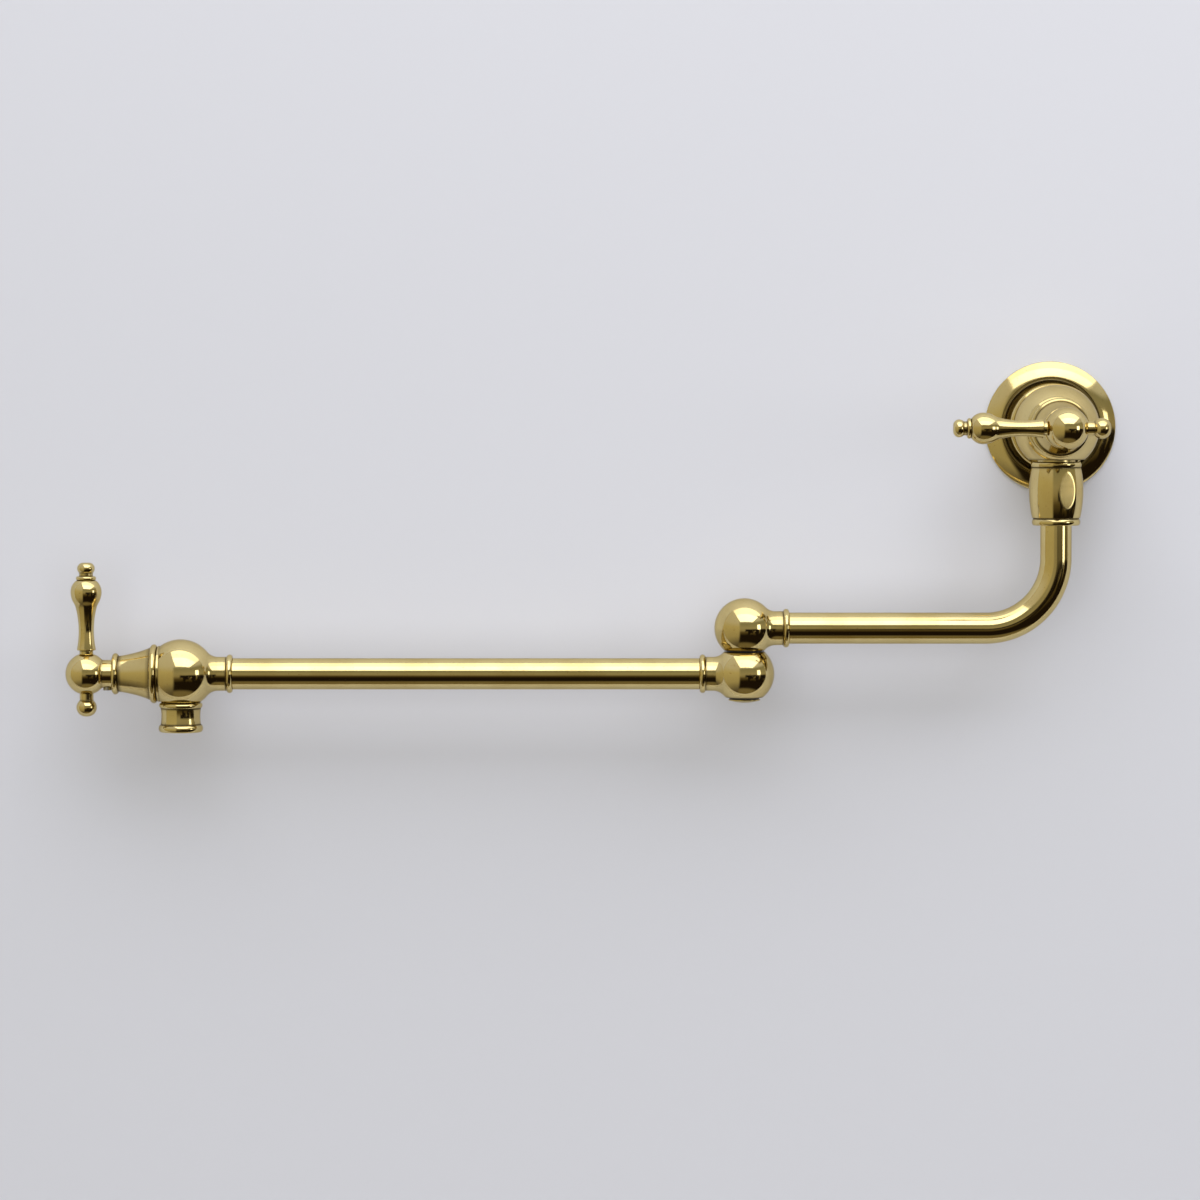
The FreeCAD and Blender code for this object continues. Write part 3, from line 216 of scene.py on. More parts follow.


# Painted shade gathers in hollow corners, where shade falls: each turn to the right counts by the sine of its
# angle and fades with the distance d along the outline as exp(-d / reach), all added up. Spots add amount *
# exp(-(d / radius)^2) by the straight distance, and the whole is capped at one.
def paintedShadeAlong(outline, heading, closed, spots=()):
    following = np.roll(heading, -1, 0)
    turn = np.clip(heading[:, 1] * following[:, 0] - heading[:, 0] * following[:, 1], 0, None)
    step = np.hypot(*(np.roll(outline, -1, 0) - outline).T)
    if not closed:
        turn[-1], step[-1] = 0.0, 1000 * shadePainting["reach"]  # keeps the two ends apart
    at = np.cumsum(step) - step
    apart = np.abs(at[:, None] - at[None, :])
    apart = np.minimum(apart, step.sum() - apart)
    paintedShade = np.exp(-apart / shadePainting["reach"]) @ turn
    for x, y, radius, amount in spots:
        paintedShade = paintedShade + amount * np.exp(-((outline[:, 0] - x) ** 2 + (outline[:, 1] - y) ** 2) / radius ** 2)
    return np.minimum(paintedShade, 1.0)


def addObject(name, data):
    made = bpy.data.objects.new(name, data)
    scene.collection.objects.link(made)
    return made


# Distance along the outline, summed from point to point, in units of V.
def lengthAlong(outline):
    return np.concatenate([[0], np.cumsum(np.hypot(*np.diff(outline, axis=0).T))]) / uvLength


# A grid of rows and columns becomes quads, and the columns close on themselves. The rows of a ring close
# too; an open outline starts and ends on the axis, so each of its end rows becomes one pole with a fan.
def gridMesh(name, points, normals, along, closed, material, paintedShade):
    rows, columns = points.shape[:2]
    row, column = np.meshgrid(np.arange(rows if closed else rows - 1), np.arange(columns), indexing="ij")
    nextRow, nextColumn = (row + 1) % rows, (column + 1) % columns
    quads = np.stack([row * columns + column, row * columns + nextColumn,
                      nextRow * columns + nextColumn, nextRow * columns + column], -1).reshape(-1, 4)
    u0, u1 = column / columns, (column + 1) / columns
    v0, v1 = along[row], np.where(nextRow > row, along[nextRow], along[row])
    uv = np.stack([u0, v0, u1, v0, u1, v1, u0, v1], -1).reshape(-1, 4, 2)
    vertices, directions = points.reshape(-1, 3), normals.reshape(-1, 3)
    keep = np.arange(len(vertices))
    for pole in () if closed else (0, rows - 1):
        keep[pole * columns:(pole + 1) * columns] = pole * columns
        directions[pole * columns] = normals[pole].mean(0)
    used, renumbered = np.unique(keep, return_inverse=True)
    quads = renumbered.reshape(-1)[quads]
    atStart, atEnd = quads[:, 0] == quads[:, 1], quads[:, 2] == quads[:, 3]
    kinds = ((~(atStart | atEnd), [0, 1, 2, 3]), (atStart, [0, 2, 3]), (atEnd, [0, 1, 2]))
    loops = np.concatenate([quads[chosen][:, picks].reshape(-1) for chosen, picks in kinds])
    loopUv = np.concatenate([uv[chosen][:, picks].reshape(-1, 2) for chosen, picks in kinds])
    sizes = np.concatenate([np.full(chosen.sum(), len(picks)) for chosen, picks in kinds])
    starts = np.concatenate([[0], np.cumsum(sizes)[:-1]])
    mesh = bpy.data.meshes.new(name)
    mesh.vertices.add(len(used))
    mesh.vertices.foreach_set("co", (vertices[used] * mm).astype(np.float32).ravel())
    mesh.loops.add(len(loops))
    mesh.loops.foreach_set("vertex_index", loops.astype(np.int32))
    mesh.polygons.add(len(sizes))
    mesh.polygons.foreach_set("loop_start", starts.astype(np.int32))
    mesh.polygons.foreach_set("loop_total", sizes.astype(np.int32))
    mesh.update(calc_edges=True)
    mesh.polygons.foreach_set("use_smooth", np.ones(len(sizes), bool))
    mesh.uv_layers.new(name="turned").data.foreach_set("uv", loopUv.astype(np.float32).ravel())
    # The painted shade for hollows and gaps is kept on each point as an attribute.
    shadeAttribute = mesh.attributes.new("paintedShade", "FLOAT", "POINT")
    shadeAttribute.data.foreach_set("value", paintedShade.reshape(-1)[used].astype(np.float32))
    length = np.linalg.norm(directions[used], axis=1, keepdims=True)
    mesh.normals_split_custom_set_from_vertices((directions[used] / length).tolist())
    mesh.validate()
    mesh.materials.append(material)
    return addObject(name, mesh)


# Presses points beyond a plane onto it: the height over the plane becomes the smooth minimum
# -soften * log(1 + exp(-height / soften)), and the normal turns to the plane's by the same share.
def pressFlat(points, normals, direction, distance):
    soften, steepest = pressing["soften"], pressing["steepest"]
    height = points @ direction - distance
    lowered = -soften * np.logaddexp(0.0, -height / soften)
    share = 1 / (1 + np.exp(-np.clip(height / soften, -steepest, steepest)))
    share = np.where((normals @ direction > 0) | (height > 0), share, 0.0)[..., None]
    return points + (lowered - height)[..., None] * direction, normals * (1 - share) + direction * share


# Revolves an outline: the point at (radius, height) goes to radius * (cos a, sin a) and height, with the
# angle a round the place's Z axis. polygon gives each row's share of a hexagon instead of a circle, ripple
# adds to the radius, and each flat is a direction and a distance to press to, with painted shade near its
# rim.
def turned(name, steps, base, material, body, node, turns=192, arcStep=0.06, lineStep=None,
           bowStep=math.inf, flats=(), flatShade=1.0, spots=(), polygon=None, ripple=None):
    closed = steps[0][0] > 0
    outline, heading = trace(steps, closed, tracing["soft"], arcStep, lineStep, bowStep)
    paintedShade = np.repeat(paintedShadeAlong(outline, heading, closed, spots)[:, None], turns, 1)
    angle = np.arange(turns) * 2 * math.pi / turns
    radius = np.repeat(outline[:, :1], turns, 1)
    height = np.repeat(outline[:, 1:], turns, 1)
    if polygon:
        hexagon = math.cos(math.pi / 6) / np.cos((angle + math.pi / 6) % (math.pi / 3) - math.pi / 6)
        radius = radius * (1 + polygon(outline)[:, None] * (hexagon[None, :] - 1))
    if ripple:
        radius = radius + ripple(outline, angle)
    points = np.stack([radius * np.cos(angle), radius * np.sin(angle), height], -1)
    normals = np.stack([heading[:, 1:] * np.cos(angle), heading[:, 1:] * np.sin(angle),
                        np.repeat(-heading[:, :1], turns, 1)], -1)
    for direction, distance in flats:
        direction = np.array(direction, float)
        # Painted shade near the rim of each flat, where the gap to the next part lies in shade.
        nearness = np.clip(1 + (points @ direction - distance) / shadePainting["flatReach"], 0, 1)
        paintedShade = np.maximum(paintedShade, flatShade * nearness ** 2)
        points, normals = pressFlat(points, normals, direction, distance)
    origin, turn = base
    points, normals = points @ turn + origin, normals @ turn
    piece = gridMesh(name, points, normals, lengthAlong(outline), closed, material, paintedShade)
    if polygon or ripple:
        smoothByAngle(piece)
    finishPiece(piece, body, node)


# Drops the normals of the smooth outline and lets Blender split its own at edges past the angle.
def smoothByAngle(piece, degrees=25):
    piece.data.normals_split_custom_set_from_vertices([(0, 0, 0)] * len(piece.data.vertices))
    piece.data.set_sharp_from_angle(angle=math.radians(degrees))


def finishPiece(piece, body, node):
    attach(piece, body)
    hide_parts(node)


# Makes a function that adds nodes to a tree. Each input takes a value or the output that feeds it, and
# a colour of three numbers gets its alpha.
def nodeAdder(tree):
    def add(kind, inputs=None, **settings):
        node = tree.nodes.new(kind)
        for key, value in settings.items():
            setattr(node, key, value)
        for key, value in (inputs or {}).items():
            socket = node.inputs[key]
            if isinstance(value, bpy.types.NodeSocket):
                tree.links.new(value, socket)
            else:
                socket.default_value = (*value, 1.0) if socket.type == "RGBA" else value
        return node
    return add


def newMaterial(name):
    material = bpy.data.materials.new(name)
    material.use_nodes = True
    material.node_tree.nodes.clear()
    return material, nodeAdder(material.node_tree)


# One sum on numbers or outputs, and one range of a value mapped onto another.
def reckon(add, operation, *values, clamp=False):
    return add("ShaderNodeMath", dict(enumerate(values)), operation=operation, use_clamp=clamp).outputs[0]


def ranged(add, value, low, high, target=(0.0, 1.0), easing="LINEAR"):
    inputs = {"Value": value, "From Min": low, "From Max": high, "To Min": target[0], "To Max": target[1]}
    return add("ShaderNodeMapRange", inputs, interpolation_type=easing).outputs["Result"]


# A mix of two numbers or of two colours; the node keeps its sockets for each kind at places of their own.
def mixed(add, factor, low, high, kind="RGBA"):
    first, result = (2, 0) if kind == "FLOAT" else (6, 2)
    return add("ShaderNodeMix", {0: factor, first: low, first + 1: high}, data_type=kind).outputs[result]


def groupSockets(name, inputs, outputs):
    group = bpy.data.node_groups.new(name, "ShaderNodeTree")
    for socket, value in inputs.items():
        made = group.interface.new_socket(socket, in_out="INPUT", socket_type="NodeSocketFloat")
        made.default_value = value
    for socket in outputs:
        group.interface.new_socket(socket, in_out="OUTPUT", socket_type="NodeSocketFloat")
    add = nodeAdder(group)
    return group, add, add("NodeGroupInput").outputs


# Grain that follows the lathe or the draw bench: noise on (cos, sin) of the angle round the piece and
# the distance along it, each with its own scale, so it closes round the piece without a seam.
def grainGroup():
    inputs = {"Around": 2.0, "Along": 60.0, "Detail": 3.0}
    group, add, given = groupSockets("latheGrain", inputs, ["Height"])
    uv = add("ShaderNodeUVMap", uv_map="turned")
    split = add("ShaderNodeSeparateXYZ", {0: uv.outputs[0]}).outputs
    turn = reckon(add, "MULTIPLY", split["X"], 2 * math.pi)
    waves = [reckon(add, operation, turn) for operation in ("COSINE", "SINE")]
    parts = [reckon(add, "MULTIPLY", wave, given["Around"]) for wave in waves]
    parts.append(reckon(add, "MULTIPLY", split["Y"], given["Along"]))
    joined = add("ShaderNodeCombineXYZ", dict(enumerate(parts)))
    noise = add("ShaderNodeTexNoise", {"Vector": joined.outputs[0], "Scale": 1.0, "Detail": given["Detail"]})
    add("NodeGroupOutput", {"Height": noise.outputs["Fac"]})
    return group


# Hand polish and age on object coordinates: broad swells for the surface, soft blotches of tarnish
# and small specks, all as plain noise passed through ramps. Each input is the scale of its noise.
ageLayers = {
    "Swell": {"scale": 30.0, "detail": 1.0, "range": (0.0, 1.0)},
    "Blotch": {"scale": 45.0, "detail": 5.0, "range": (0.42, 0.72)},
    "Speck": {"scale": 900.0, "detail": 2.0, "range": (0.66, 0.78)},
}


def ageGroup(layers):
    scales = {name: layer["scale"] for name, layer in layers.items()}
    group, add, given = groupSockets("handPolish", scales, layers)
    position = add("ShaderNodeTexCoord").outputs["Object"]
    masks = {}
    for name, layer in layers.items():
        inputs = {"Vector": position, "Scale": given[name], "Detail": layer["detail"]}
        masks[name] = ranged(add, add("ShaderNodeTexNoise", inputs).outputs["Fac"], *layer["range"])
    add("NodeGroupOutput", masks)
    return group


latheGrain, handPolish = grainGroup(), ageGroup(ageLayers)


# Polished brass: metal whose colour warms in the tarnish and blackens with painted shade in the hollow
# corners and gaps, with a faint grain in roughness and bump.
def brassMaterial(name, spec):
    material, add = newMaterial(name)
    age = add("ShaderNodeGroup", spec["scales"], node_tree=handPolish).outputs
    height = add("ShaderNodeGroup", spec["grain"], node_tree=latheGrain).outputs["Height"]
    unshaded = mixed(add, age["Blotch"], spec["color"], spec["tarnish"])
    unshaded = mixed(add, age["Speck"], unshaded, spec["speck"])
    # Painted shade: the attribute darkens the colour towards near-black and changes its roughness in hollows
    # and gaps, where shade falls.
    shadeAttribute = add("ShaderNodeAttribute", attribute_name="paintedShade").outputs["Fac"]
    uneven = ranged(add, age["Swell"], 0.0, 1.0, spec["paintedShadeRange"])
    shadeShare = reckon(add, "MULTIPLY", shadeAttribute, uneven, clamp=True)
    rough = mixed(add, age["Blotch"], *spec["roughness"], "FLOAT")
    rough = mixed(add, shadeShare, rough, spec["paintedShadeRoughness"], "FLOAT")
    swell = add("ShaderNodeBump", {"Strength": 1.0, "Distance": spec["swellHeight"], "Height": age["Swell"]})
    grain = add("ShaderNodeBump", {"Strength": 1.0, "Distance": spec["grainHeight"], "Height": height,
                                   "Normal": swell.outputs["Normal"]})
    shader = add("ShaderNodeBsdfPrincipled", {
        "Base Color": mixed(add, shadeShare, unshaded, spec["paintedShade"]), "Metallic": 1.0,
        "Specular Tint": spec["edgeTint"],
        "Roughness": reckon(add, "MULTIPLY_ADD", height, spec["grainRoughness"], rough),
        "Normal": grain.outputs["Normal"]})
    add("ShaderNodeOutputMaterial", {"Surface": shader.outputs[0]})
    return material


brassTone = {
    "color": (0.69, 0.56, 0.26),
    "tarnish": (0.62, 0.48, 0.20),
    # Colour, spread and roughness of the painted shade in hollows and gaps.
    "paintedShade": (0.05, 0.032, 0.014),
    "paintedShadeRange": (0.6, 1.4),
    "paintedShadeRoughness": 0.32,
    "edgeTint": (0.72, 0.68, 0.58),
    "speck": (0.50, 0.33, 0.13),
    "scales": {"Swell": 30.0, "Blotch": 45.0, "Speck": 900.0},
    "roughness": (0.045, 0.11),
    "grainRoughness": 0.05,
    "swellHeight": 0.00004,
    "grainHeight": 0.000002,
    "grain": {"Around": 1.0, "Along": 60.0, "Detail": 3.0},
}
drawnTone = {"grain": {"Around": 14.0, "Along": 3.0, "Detail": 3.0}, "grainHeight": 0.000004}
castTone = {"roughness": (0.22, 0.34), "swellHeight": 0.0001}
turnedBrass = brassMaterial("turnedBrass", brassTone)
drawnBrass = brassMaterial("drawnBrass", brassTone | drawnTone)
castBrass = brassMaterial("castBrass", brassTone | castTone)


# Plain solids behind the brass: one colour varied by noise, its own roughness, and a fine bump.
def plainMaterial(name, spec):
    material, add = newMaterial(name)
    position = add("ShaderNodeTexCoord").outputs["Object"]
    texture = add("ShaderNodeTexNoise", {"Vector": position, "Scale": spec["scale"], "Detail": 4.0})
    noise = texture.outputs["Fac"]
    bump = add("ShaderNodeBump", {"Distance": spec["bump"], "Height": noise})
    shader = add("ShaderNodeBsdfPrincipled", {
        "Metallic": spec.get("metallic", 0.0), "Base Color": mixed(add, noise, spec["color"], spec["shade"]),
        "Roughness": mixed(add, noise, *spec["roughness"], "FLOAT"), "Normal": bump.outputs["Normal"]})
    add("ShaderNodeOutputMaterial", {"Surface": shader.outputs[0]})
    return material


# Each is named after the part's material slot that it dresses.
plainSpecs = {
    "rubber": {"color": (0.012, 0.012, 0.012), "shade": (0.03, 0.03, 0.03), "roughness": (0.45, 0.65),
               "scale": 1500.0, "bump": 0.00002},
    "foam": {"color": (0.02, 0.02, 0.02), "shade": (0.06, 0.06, 0.06), "roughness": (0.85, 0.95),
             "scale": 2500.0, "bump": 0.0003},
    "washer_plastic": {"color": (0.012, 0.012, 0.013), "shade": (0.022, 0.022, 0.022),
                       "roughness": (0.35, 0.5), "scale": 900.0, "bump": 0.00001},
    "ceramic": {"color": (0.80, 0.79, 0.76), "shade": (0.74, 0.72, 0.69), "roughness": (0.18, 0.26),
                "scale": 1200.0, "bump": 0.000005},
    "plate_plastic": {"color": (0.55, 0.57, 0.58), "shade": (0.48, 0.50, 0.51), "roughness": (0.4, 0.5),
                      "scale": 1200.0, "bump": 0.00001},
    "steel": {"color": (0.58, 0.57, 0.55), "shade": (0.48, 0.47, 0.46), "roughness": (0.22, 0.36),
              "metallic": 1.0, "scale": 1800.0, "bump": 0.00001},
    "inner_brass": {"color": (0.72, 0.53, 0.24), "shade": (0.60, 0.42, 0.17), "roughness": (0.28, 0.42),
                    "metallic": 1.0, "scale": 700.0, "bump": 0.00002},
}
plainMaterials = {name: plainMaterial(name, spec) for name, spec in plainSpecs.items()}
for name, slot in slotOf.items():
    slots = frame["nodes"][name].data.materials
    for index in range(len(slots)):
        slots[index] = plainMaterials.get(slot, castBrass)
print("materials made")

flangeSpec = {
    "foot": 38.0, "edge": 1.0, "rimInner": 28.8, "rimHeight": 5.6, "rimRise": 0.7, "ledgeInner": 27.4,
    "ledgeHeight": 5.0, "neck": 25.0, "cove": 1.5, "depth": 20.41, "lip": 2.2, "bore": 16.25, "front": 18.6,
    "wall": 2.1, "boreWall": 2.7, "gasketRim": 33.4, "gasketHeight": 2.05, "frontSoft": 0.5,
    # A spot of painted shade and painted dark reflection on the cove above the ledge.
    "coveShade": (1.2, 3.0, 4.0, 0.22),  # past the neck, above the ledge, radius and amount
}


# The flange outside, from its foot over rim, ledge, coved neck and lip to the bore, and its hollow back.
def makeFlange(spec):
    lipRise = spec["lip"] * (1 - math.cos(math.pi / 4))
    inside = spec["neck"] - spec["wall"]
    seam, roof = spec["bore"] + spec["boreWall"], spec["front"] - spec["wall"]
    step = spec["ledgeHeight"] - spec["wall"]
    steps = [
        to(spec["gasketRim"], 0),
        to(spec["foot"], 0, rounded),
        to(spec["foot"], spec["edge"], eased),
        bow(spec["rimInner"], spec["rimHeight"], spec["rimRise"], eased),
        to(spec["rimInner"], spec["ledgeHeight"], fine),
        to(spec["ledgeInner"], spec["ledgeHeight"], rounded),
        bow(spec["neck"], spec["depth"] - spec["lip"], -spec["cove"], blunt),
        bow(spec["neck"] - spec["lip"], spec["depth"], lipRise, rounded),
        to(spec["bore"], spec["front"], spec["frontSoft"]),
        to(spec["bore"], spec["rimHeight"]),
        to(seam, spec["rimHeight"]),
        to(seam, roof),
        to(inside, roof),
        to(inside, step),
        to(spec["ledgeInner"], step),
        to(spec["ledgeInner"], spec["gasketHeight"]),
        to(spec["gasketRim"], spec["gasketHeight"]),
    ]
    # The spot of painted shade and dark reflection in the cove.
    past, above, radius, amount = spec["coveShade"]
    spot = (spec["neck"] + past, spec["ledgeHeight"] + above, radius, amount)
    turned("wallFlange", steps, place((0, 0, 0), outward, downward), turnedBrass, "wall_side", "wall_flange",
           turns=256, arcStep=0.03, spots=[spot])


makeFlange(flangeSpec)

wallValveSpec = {
    "ball": 24.7, "neck": 16.0, "inlet": 9.3, "inletLength": 16.0, "passage": 5.0, "seat": 16.1,
    "collar": 1.2, "flat": 18.6, "chamber": 11.0, "chamberDepth": 20.5,
    "threadPitch": 1.81, "threadDepth": 0.45, "threadLap": 0.02, "threadRim": 0.1, "threadBack": 0.6,
    "threadMouth": 0.8, "threadFoot": 0.4, "inletSoft": 0.6,
    "nippleRadius": 11.0, "nippleSink": 1.0, "nippleEnd": 30.0, "nippleBore": 7.0,
}


# The valve's body: inlet, rear neck, ball, the seat for the bonnet and the chamber for the cartridge.
def makeWallValve(spec):
    seatAt = layout["wallSeat"]
    mouth = -layout["standoff"]
    inletFloor = mouth + spec["inletLength"]
    rear = -math.sqrt(spec["ball"] ** 2 - spec["neck"] ** 2)
    floor = seatAt - spec["chamberDepth"]
    base = place(wallCentre, outward, downward)
    turned("wallBall", [
        to(spec["passage"], inletFloor),
        to(spec["inlet"], inletFloor),
        to(spec["inlet"], mouth, spec["inletSoft"]),
        to(spec["neck"], mouth, rounded),
        to(spec["neck"], rear, rounded),
        bulge(spec["seat"], seatAt - spec["collar"], spec["ball"], crisp),
        to(spec["seat"], seatAt, crisp),
        to(spec["chamber"], seatAt),
        to(spec["chamber"], floor),
        to(spec["passage"], floor),
    ], base, turnedBrass, "wall_side", "wall_valve_body", turns=320, arcStep=0.024,
        flats=[((1, 0, 0), spec["flat"])])

    # The inlet's thread: a triangle wave of (height / pitch - angle / full turn) on a thin liner.
    def threadWave(outline, angle):
        phase = outline[:, 1:] / spec["threadPitch"] - angle[None, :] / (2 * math.pi)
        return (-spec["threadDepth"] * np.abs(2 * (phase % 1.0) - 1)
                * (outline[:, :1] < spec["inlet"] + spec["threadRim"]))

    liner = ring(spec["inlet"] - spec["threadLap"], spec["inlet"] + spec["threadBack"],
                 mouth + spec["threadMouth"], inletFloor - spec["threadFoot"])
    turned("inletThread", liner, base, castBrass, "wall_side", "wall_valve_body", turns=96, lineStep=0.22,
           ripple=threadWave)
    turned("wallNipple", ring(spec["nippleBore"], spec["nippleRadius"], spec["flat"] - spec["nippleSink"],
                              spec["nippleEnd"], softHigh=blunt),
           place(wallCentre, downward, rightward), castBrass, "wall_side", "wall_valve_body", turns=96)


makeWallValve(wallValveSpec)

sleeveSpec = {
    "top": 19.6, "end": 56.2, "bore": 11.05, "topBead": 14.0, "topBeadWidth": 3.5, "topBeadRise": 0.6,
    "shoulder": 14.3, "waist": 13.8, "belly": 1.54, "bellyEnd": 52.0, "groove": 0.5, "lowBead": 13.2,
    "lowBeadRise": 0.7, "lip": 9.4, "lipHeight": 3.0, "flatDistance": 14.75, "flatTurn": -19.5,
}


# The swivel's nut: a bead, a barrel with two flats pressed into it, and a bead that closes on the tube.
def makeSleeve(spec):
    beadEnd, lipTop = spec["top"] + spec["topBeadWidth"], spec["end"] - spec["lipHeight"]
    steps = [
        to(spec["bore"], spec["top"]),
        to(spec["topBead"], spec["top"], fine),
        bow(spec["topBead"], beadEnd, spec["topBeadRise"], fine),
        to(spec["shoulder"], beadEnd, broken),
        bow(spec["waist"], spec["bellyEnd"], spec["belly"], broken),
        to(spec["lowBead"], spec["bellyEnd"], crisp),
        to(spec["lowBead"], spec["bellyEnd"] + spec["groove"], crisp),
        bow(spec["lowBead"], spec["end"], spec["lowBeadRise"], broken),
        to(spec["lip"], spec["end"], rounded),
        to(spec["lip"], lipTop),
        to(spec["bore"], lipTop),
    ]
    angle = math.radians(spec["flatTurn"])
    flats = [((-side * math.sin(angle), side * math.cos(angle), 0), spec["flatDistance"]) for side in (1, -1)]
    turned("swivelSleeve", steps, place(wallCentre, downward, rightward), turnedBrass, "wall_side",
           "swivel_sleeve", turns=448, bowStep=0.36, flats=flats, flatShade=0.0)


makeSleeve(sleeveSpec)
print("wall side made")

armSpec = {
    "tube": 9.0, "wall": 1.25, "bend": 40.0, "collarEnd": 44.95, "neck": 9.8, "cove": 8.0, "beadWidth": 3.5,
    "beadRise": 1.35, "spigot": 7.7, "spigotLength": 8.0, "waterway": 5.5, "waterwayEnd": -2.0,
    "jointBall": 17.3, "jointBead": 24.0, "jointFlat": 12.8, "capFlat": 13.6, "spoutBall": 19.9,
    "spoutBead": 28.2, "beadSoft": 0.18,
}


# The neck of a ball along -Z: waterway, spigot, bead and cove, up to where the ball begins.
def neckSteps(spec, ball, bead):
    face = bead + spec["beadWidth"] / 2
    end = face + spec["spigotLength"]
    return [
        to(spec["waterway"], -end),
        to(spec["spigot"], -end, rounded),
        to(spec["spigot"], -face, crisp),
        to(spec["neck"], -face),
        bow(spec["neck"], -(bead - spec["beadWidth"] / 2), spec["beadRise"], spec["beadSoft"]),
    ] + coveSteps(ball, spec["neck"], spec["cove"])


# A ball that closes over its own neck, pressed flat where it meets the other one or the cap.
def makeJointBall(name, centre, towards, node, body, spec, flats):
    steps = [to(0, spec["waterwayEnd"]), to(spec["waterway"], spec["waterwayEnd"])]
    steps += neckSteps(spec, spec["jointBall"], spec["jointBead"])
    steps.append(bulge(0, spec["jointBall"], spec["jointBall"]))
    turned(name, steps, place(centre, towards, downward), turnedBrass, body, node, turns=240, arcStep=0.026,
           flats=flats)


makeJointBall("upperBall", jointCentre, leftward, "upper_joint_ball", "inner_arm", armSpec,
              [((1, 0, 0), armSpec["jointFlat"])])
makeJointBall("lowerBall", lowerCentre, rightward, "lower_joint_ball", "outer_arm", armSpec,
              [((1, 0, 0), armSpec["capFlat"]), ((-1, 0, 0), armSpec["jointFlat"])])


# The elbow's wall: a ring outline of (radius, distance) carried along a straight, a quarter circle and
# a straight. Each distance gives a centre and two cross directions, and the point is the centre plus
# radius * (cos a, sin a) on them.
def makeElbow(spec, turns=128):
    drop = layout["elbowDrop"] - spec["bend"] - spec["collarEnd"]
    quarter = spec["bend"] * math.pi / 2
    run = layout["innerReach"] - spec["bend"] - spec["jointBead"] - spec["beadWidth"] / 2
    steps = ring(spec["tube"] - spec["wall"], spec["tube"], 0, drop + quarter + run)
    steps = steps[-1:] + steps[:-1]  # V starts in the bore, at the far end
    outline, heading = trace(steps, soft=rounded, lineStep=1.6)
    angle = np.arange(turns) * 2 * math.pi / turns
    s = outline[:, 1]
    bendAngle = np.clip((s - drop) / spec["bend"], 0, math.pi / 2)
    straight = np.clip(s, None, drop)
    beyond = np.clip(s - drop - quarter, 0, None)
    centre = np.stack([
        -spec["bend"] * (1 - np.cos(bendAngle)) - beyond,
        np.full(len(s), -layout["standoff"]),
        -spec["collarEnd"] - straight - spec["bend"] * np.sin(bendAngle)], 1)
    tangent = np.stack([-np.sin(bendAngle), np.zeros(len(s)), -np.cos(bendAngle)], 1)
    side = np.tile([0.0, -1.0, 0.0], (len(s), 1))
    other = np.cross(tangent, side)
    circle = side[:, None] * np.cos(angle)[None, :, None] + other[:, None] * np.sin(angle)[None, :, None]
    points = centre[:, None] + circle * outline[:, :1, None]
    normals = circle * heading[:, 1:, None] - tangent[:, None] * heading[:, :1, None]
    # No painted shade on the elbow.
    unshaded = np.zeros(points.shape[:2])
    piece = gridMesh("elbowTube", points, normals, lengthAlong(outline), True, drawnBrass, unshaded)
    finishPiece(piece, "inner_arm", "elbow_tube")


# The straight tube between the two beads that hold it.
def makeArmTube(spec):
    start = spec["jointBead"] + spec["beadWidth"] / 2
    end = layout["outerReach"] - spec["spoutBead"] - spec["beadWidth"] / 2
    turned("armTube", ring(spec["tube"] - spec["wall"], spec["tube"], start, end, rounded, rounded),
           place(lowerCentre, leftward, downward), drawnBrass, "outer_arm", "arm_tube")


makeElbow(armSpec)
makeArmTube(armSpec)


# A hexagon for the rows of an outline that lie within the key's rim and above its foot.
def keyedAbove(foot, spec):
    rim, floor = spec["key"] + spec["keyRim"], foot + spec["keyClear"]
    return lambda outline: (outline[:, 0] < rim) * (outline[:, 1] > floor) * 1.0


capSpec = {
    "radius": 9.2, "edge": 0.6, "dome": 1.5, "shank": 3.35, "shankLength": 8.5, "at": 40.9,
    "key": 2.0, "keyDepth": 1.6, "keyRim": 0.14, "keyClear": 0.1,
}


# The screw that holds the joint: a shank, and a cap whose dome is a part of a sphere with a hexagon key.
def makeCap(spec):
    top = spec["at"] + spec["edge"] + spec["dome"]
    tip, keyFloor = spec["at"] - spec["shankLength"], top - spec["keyDepth"]
    sphere = arcRadius(spec["radius"], spec["dome"])
    keyTop = top - (sphere - math.sqrt(sphere ** 2 - spec["key"] ** 2))
    turned("jointCap", [
        to(0, tip),
        to(spec["shank"], tip, broken),
        to(spec["shank"], spec["at"]),
        to(spec["radius"], spec["at"], fine),
        to(spec["radius"], spec["at"] + spec["edge"], eased),
        bulge(spec["key"], keyTop, sphere),
        to(spec["key"], keyFloor),
        to(0, keyFloor),
    ], place(jointCentre, downward, rightward), turnedBrass, "inner_arm", "joint_cap", arcStep=0.02,
        polygon=keyedAbove(spec["at"], spec))


makeCap(capSpec)
print("arms made")

spoutValveSpec = {
    "seat": 16.1, "collar": 1.2, "flat": 16.6, "chamber": 11.0, "chamberDepth": 20.5, "boss": 9.5,
    "bossSink": 1.0, "bossEnd": 22.0, "bossBore": 6.5,
}


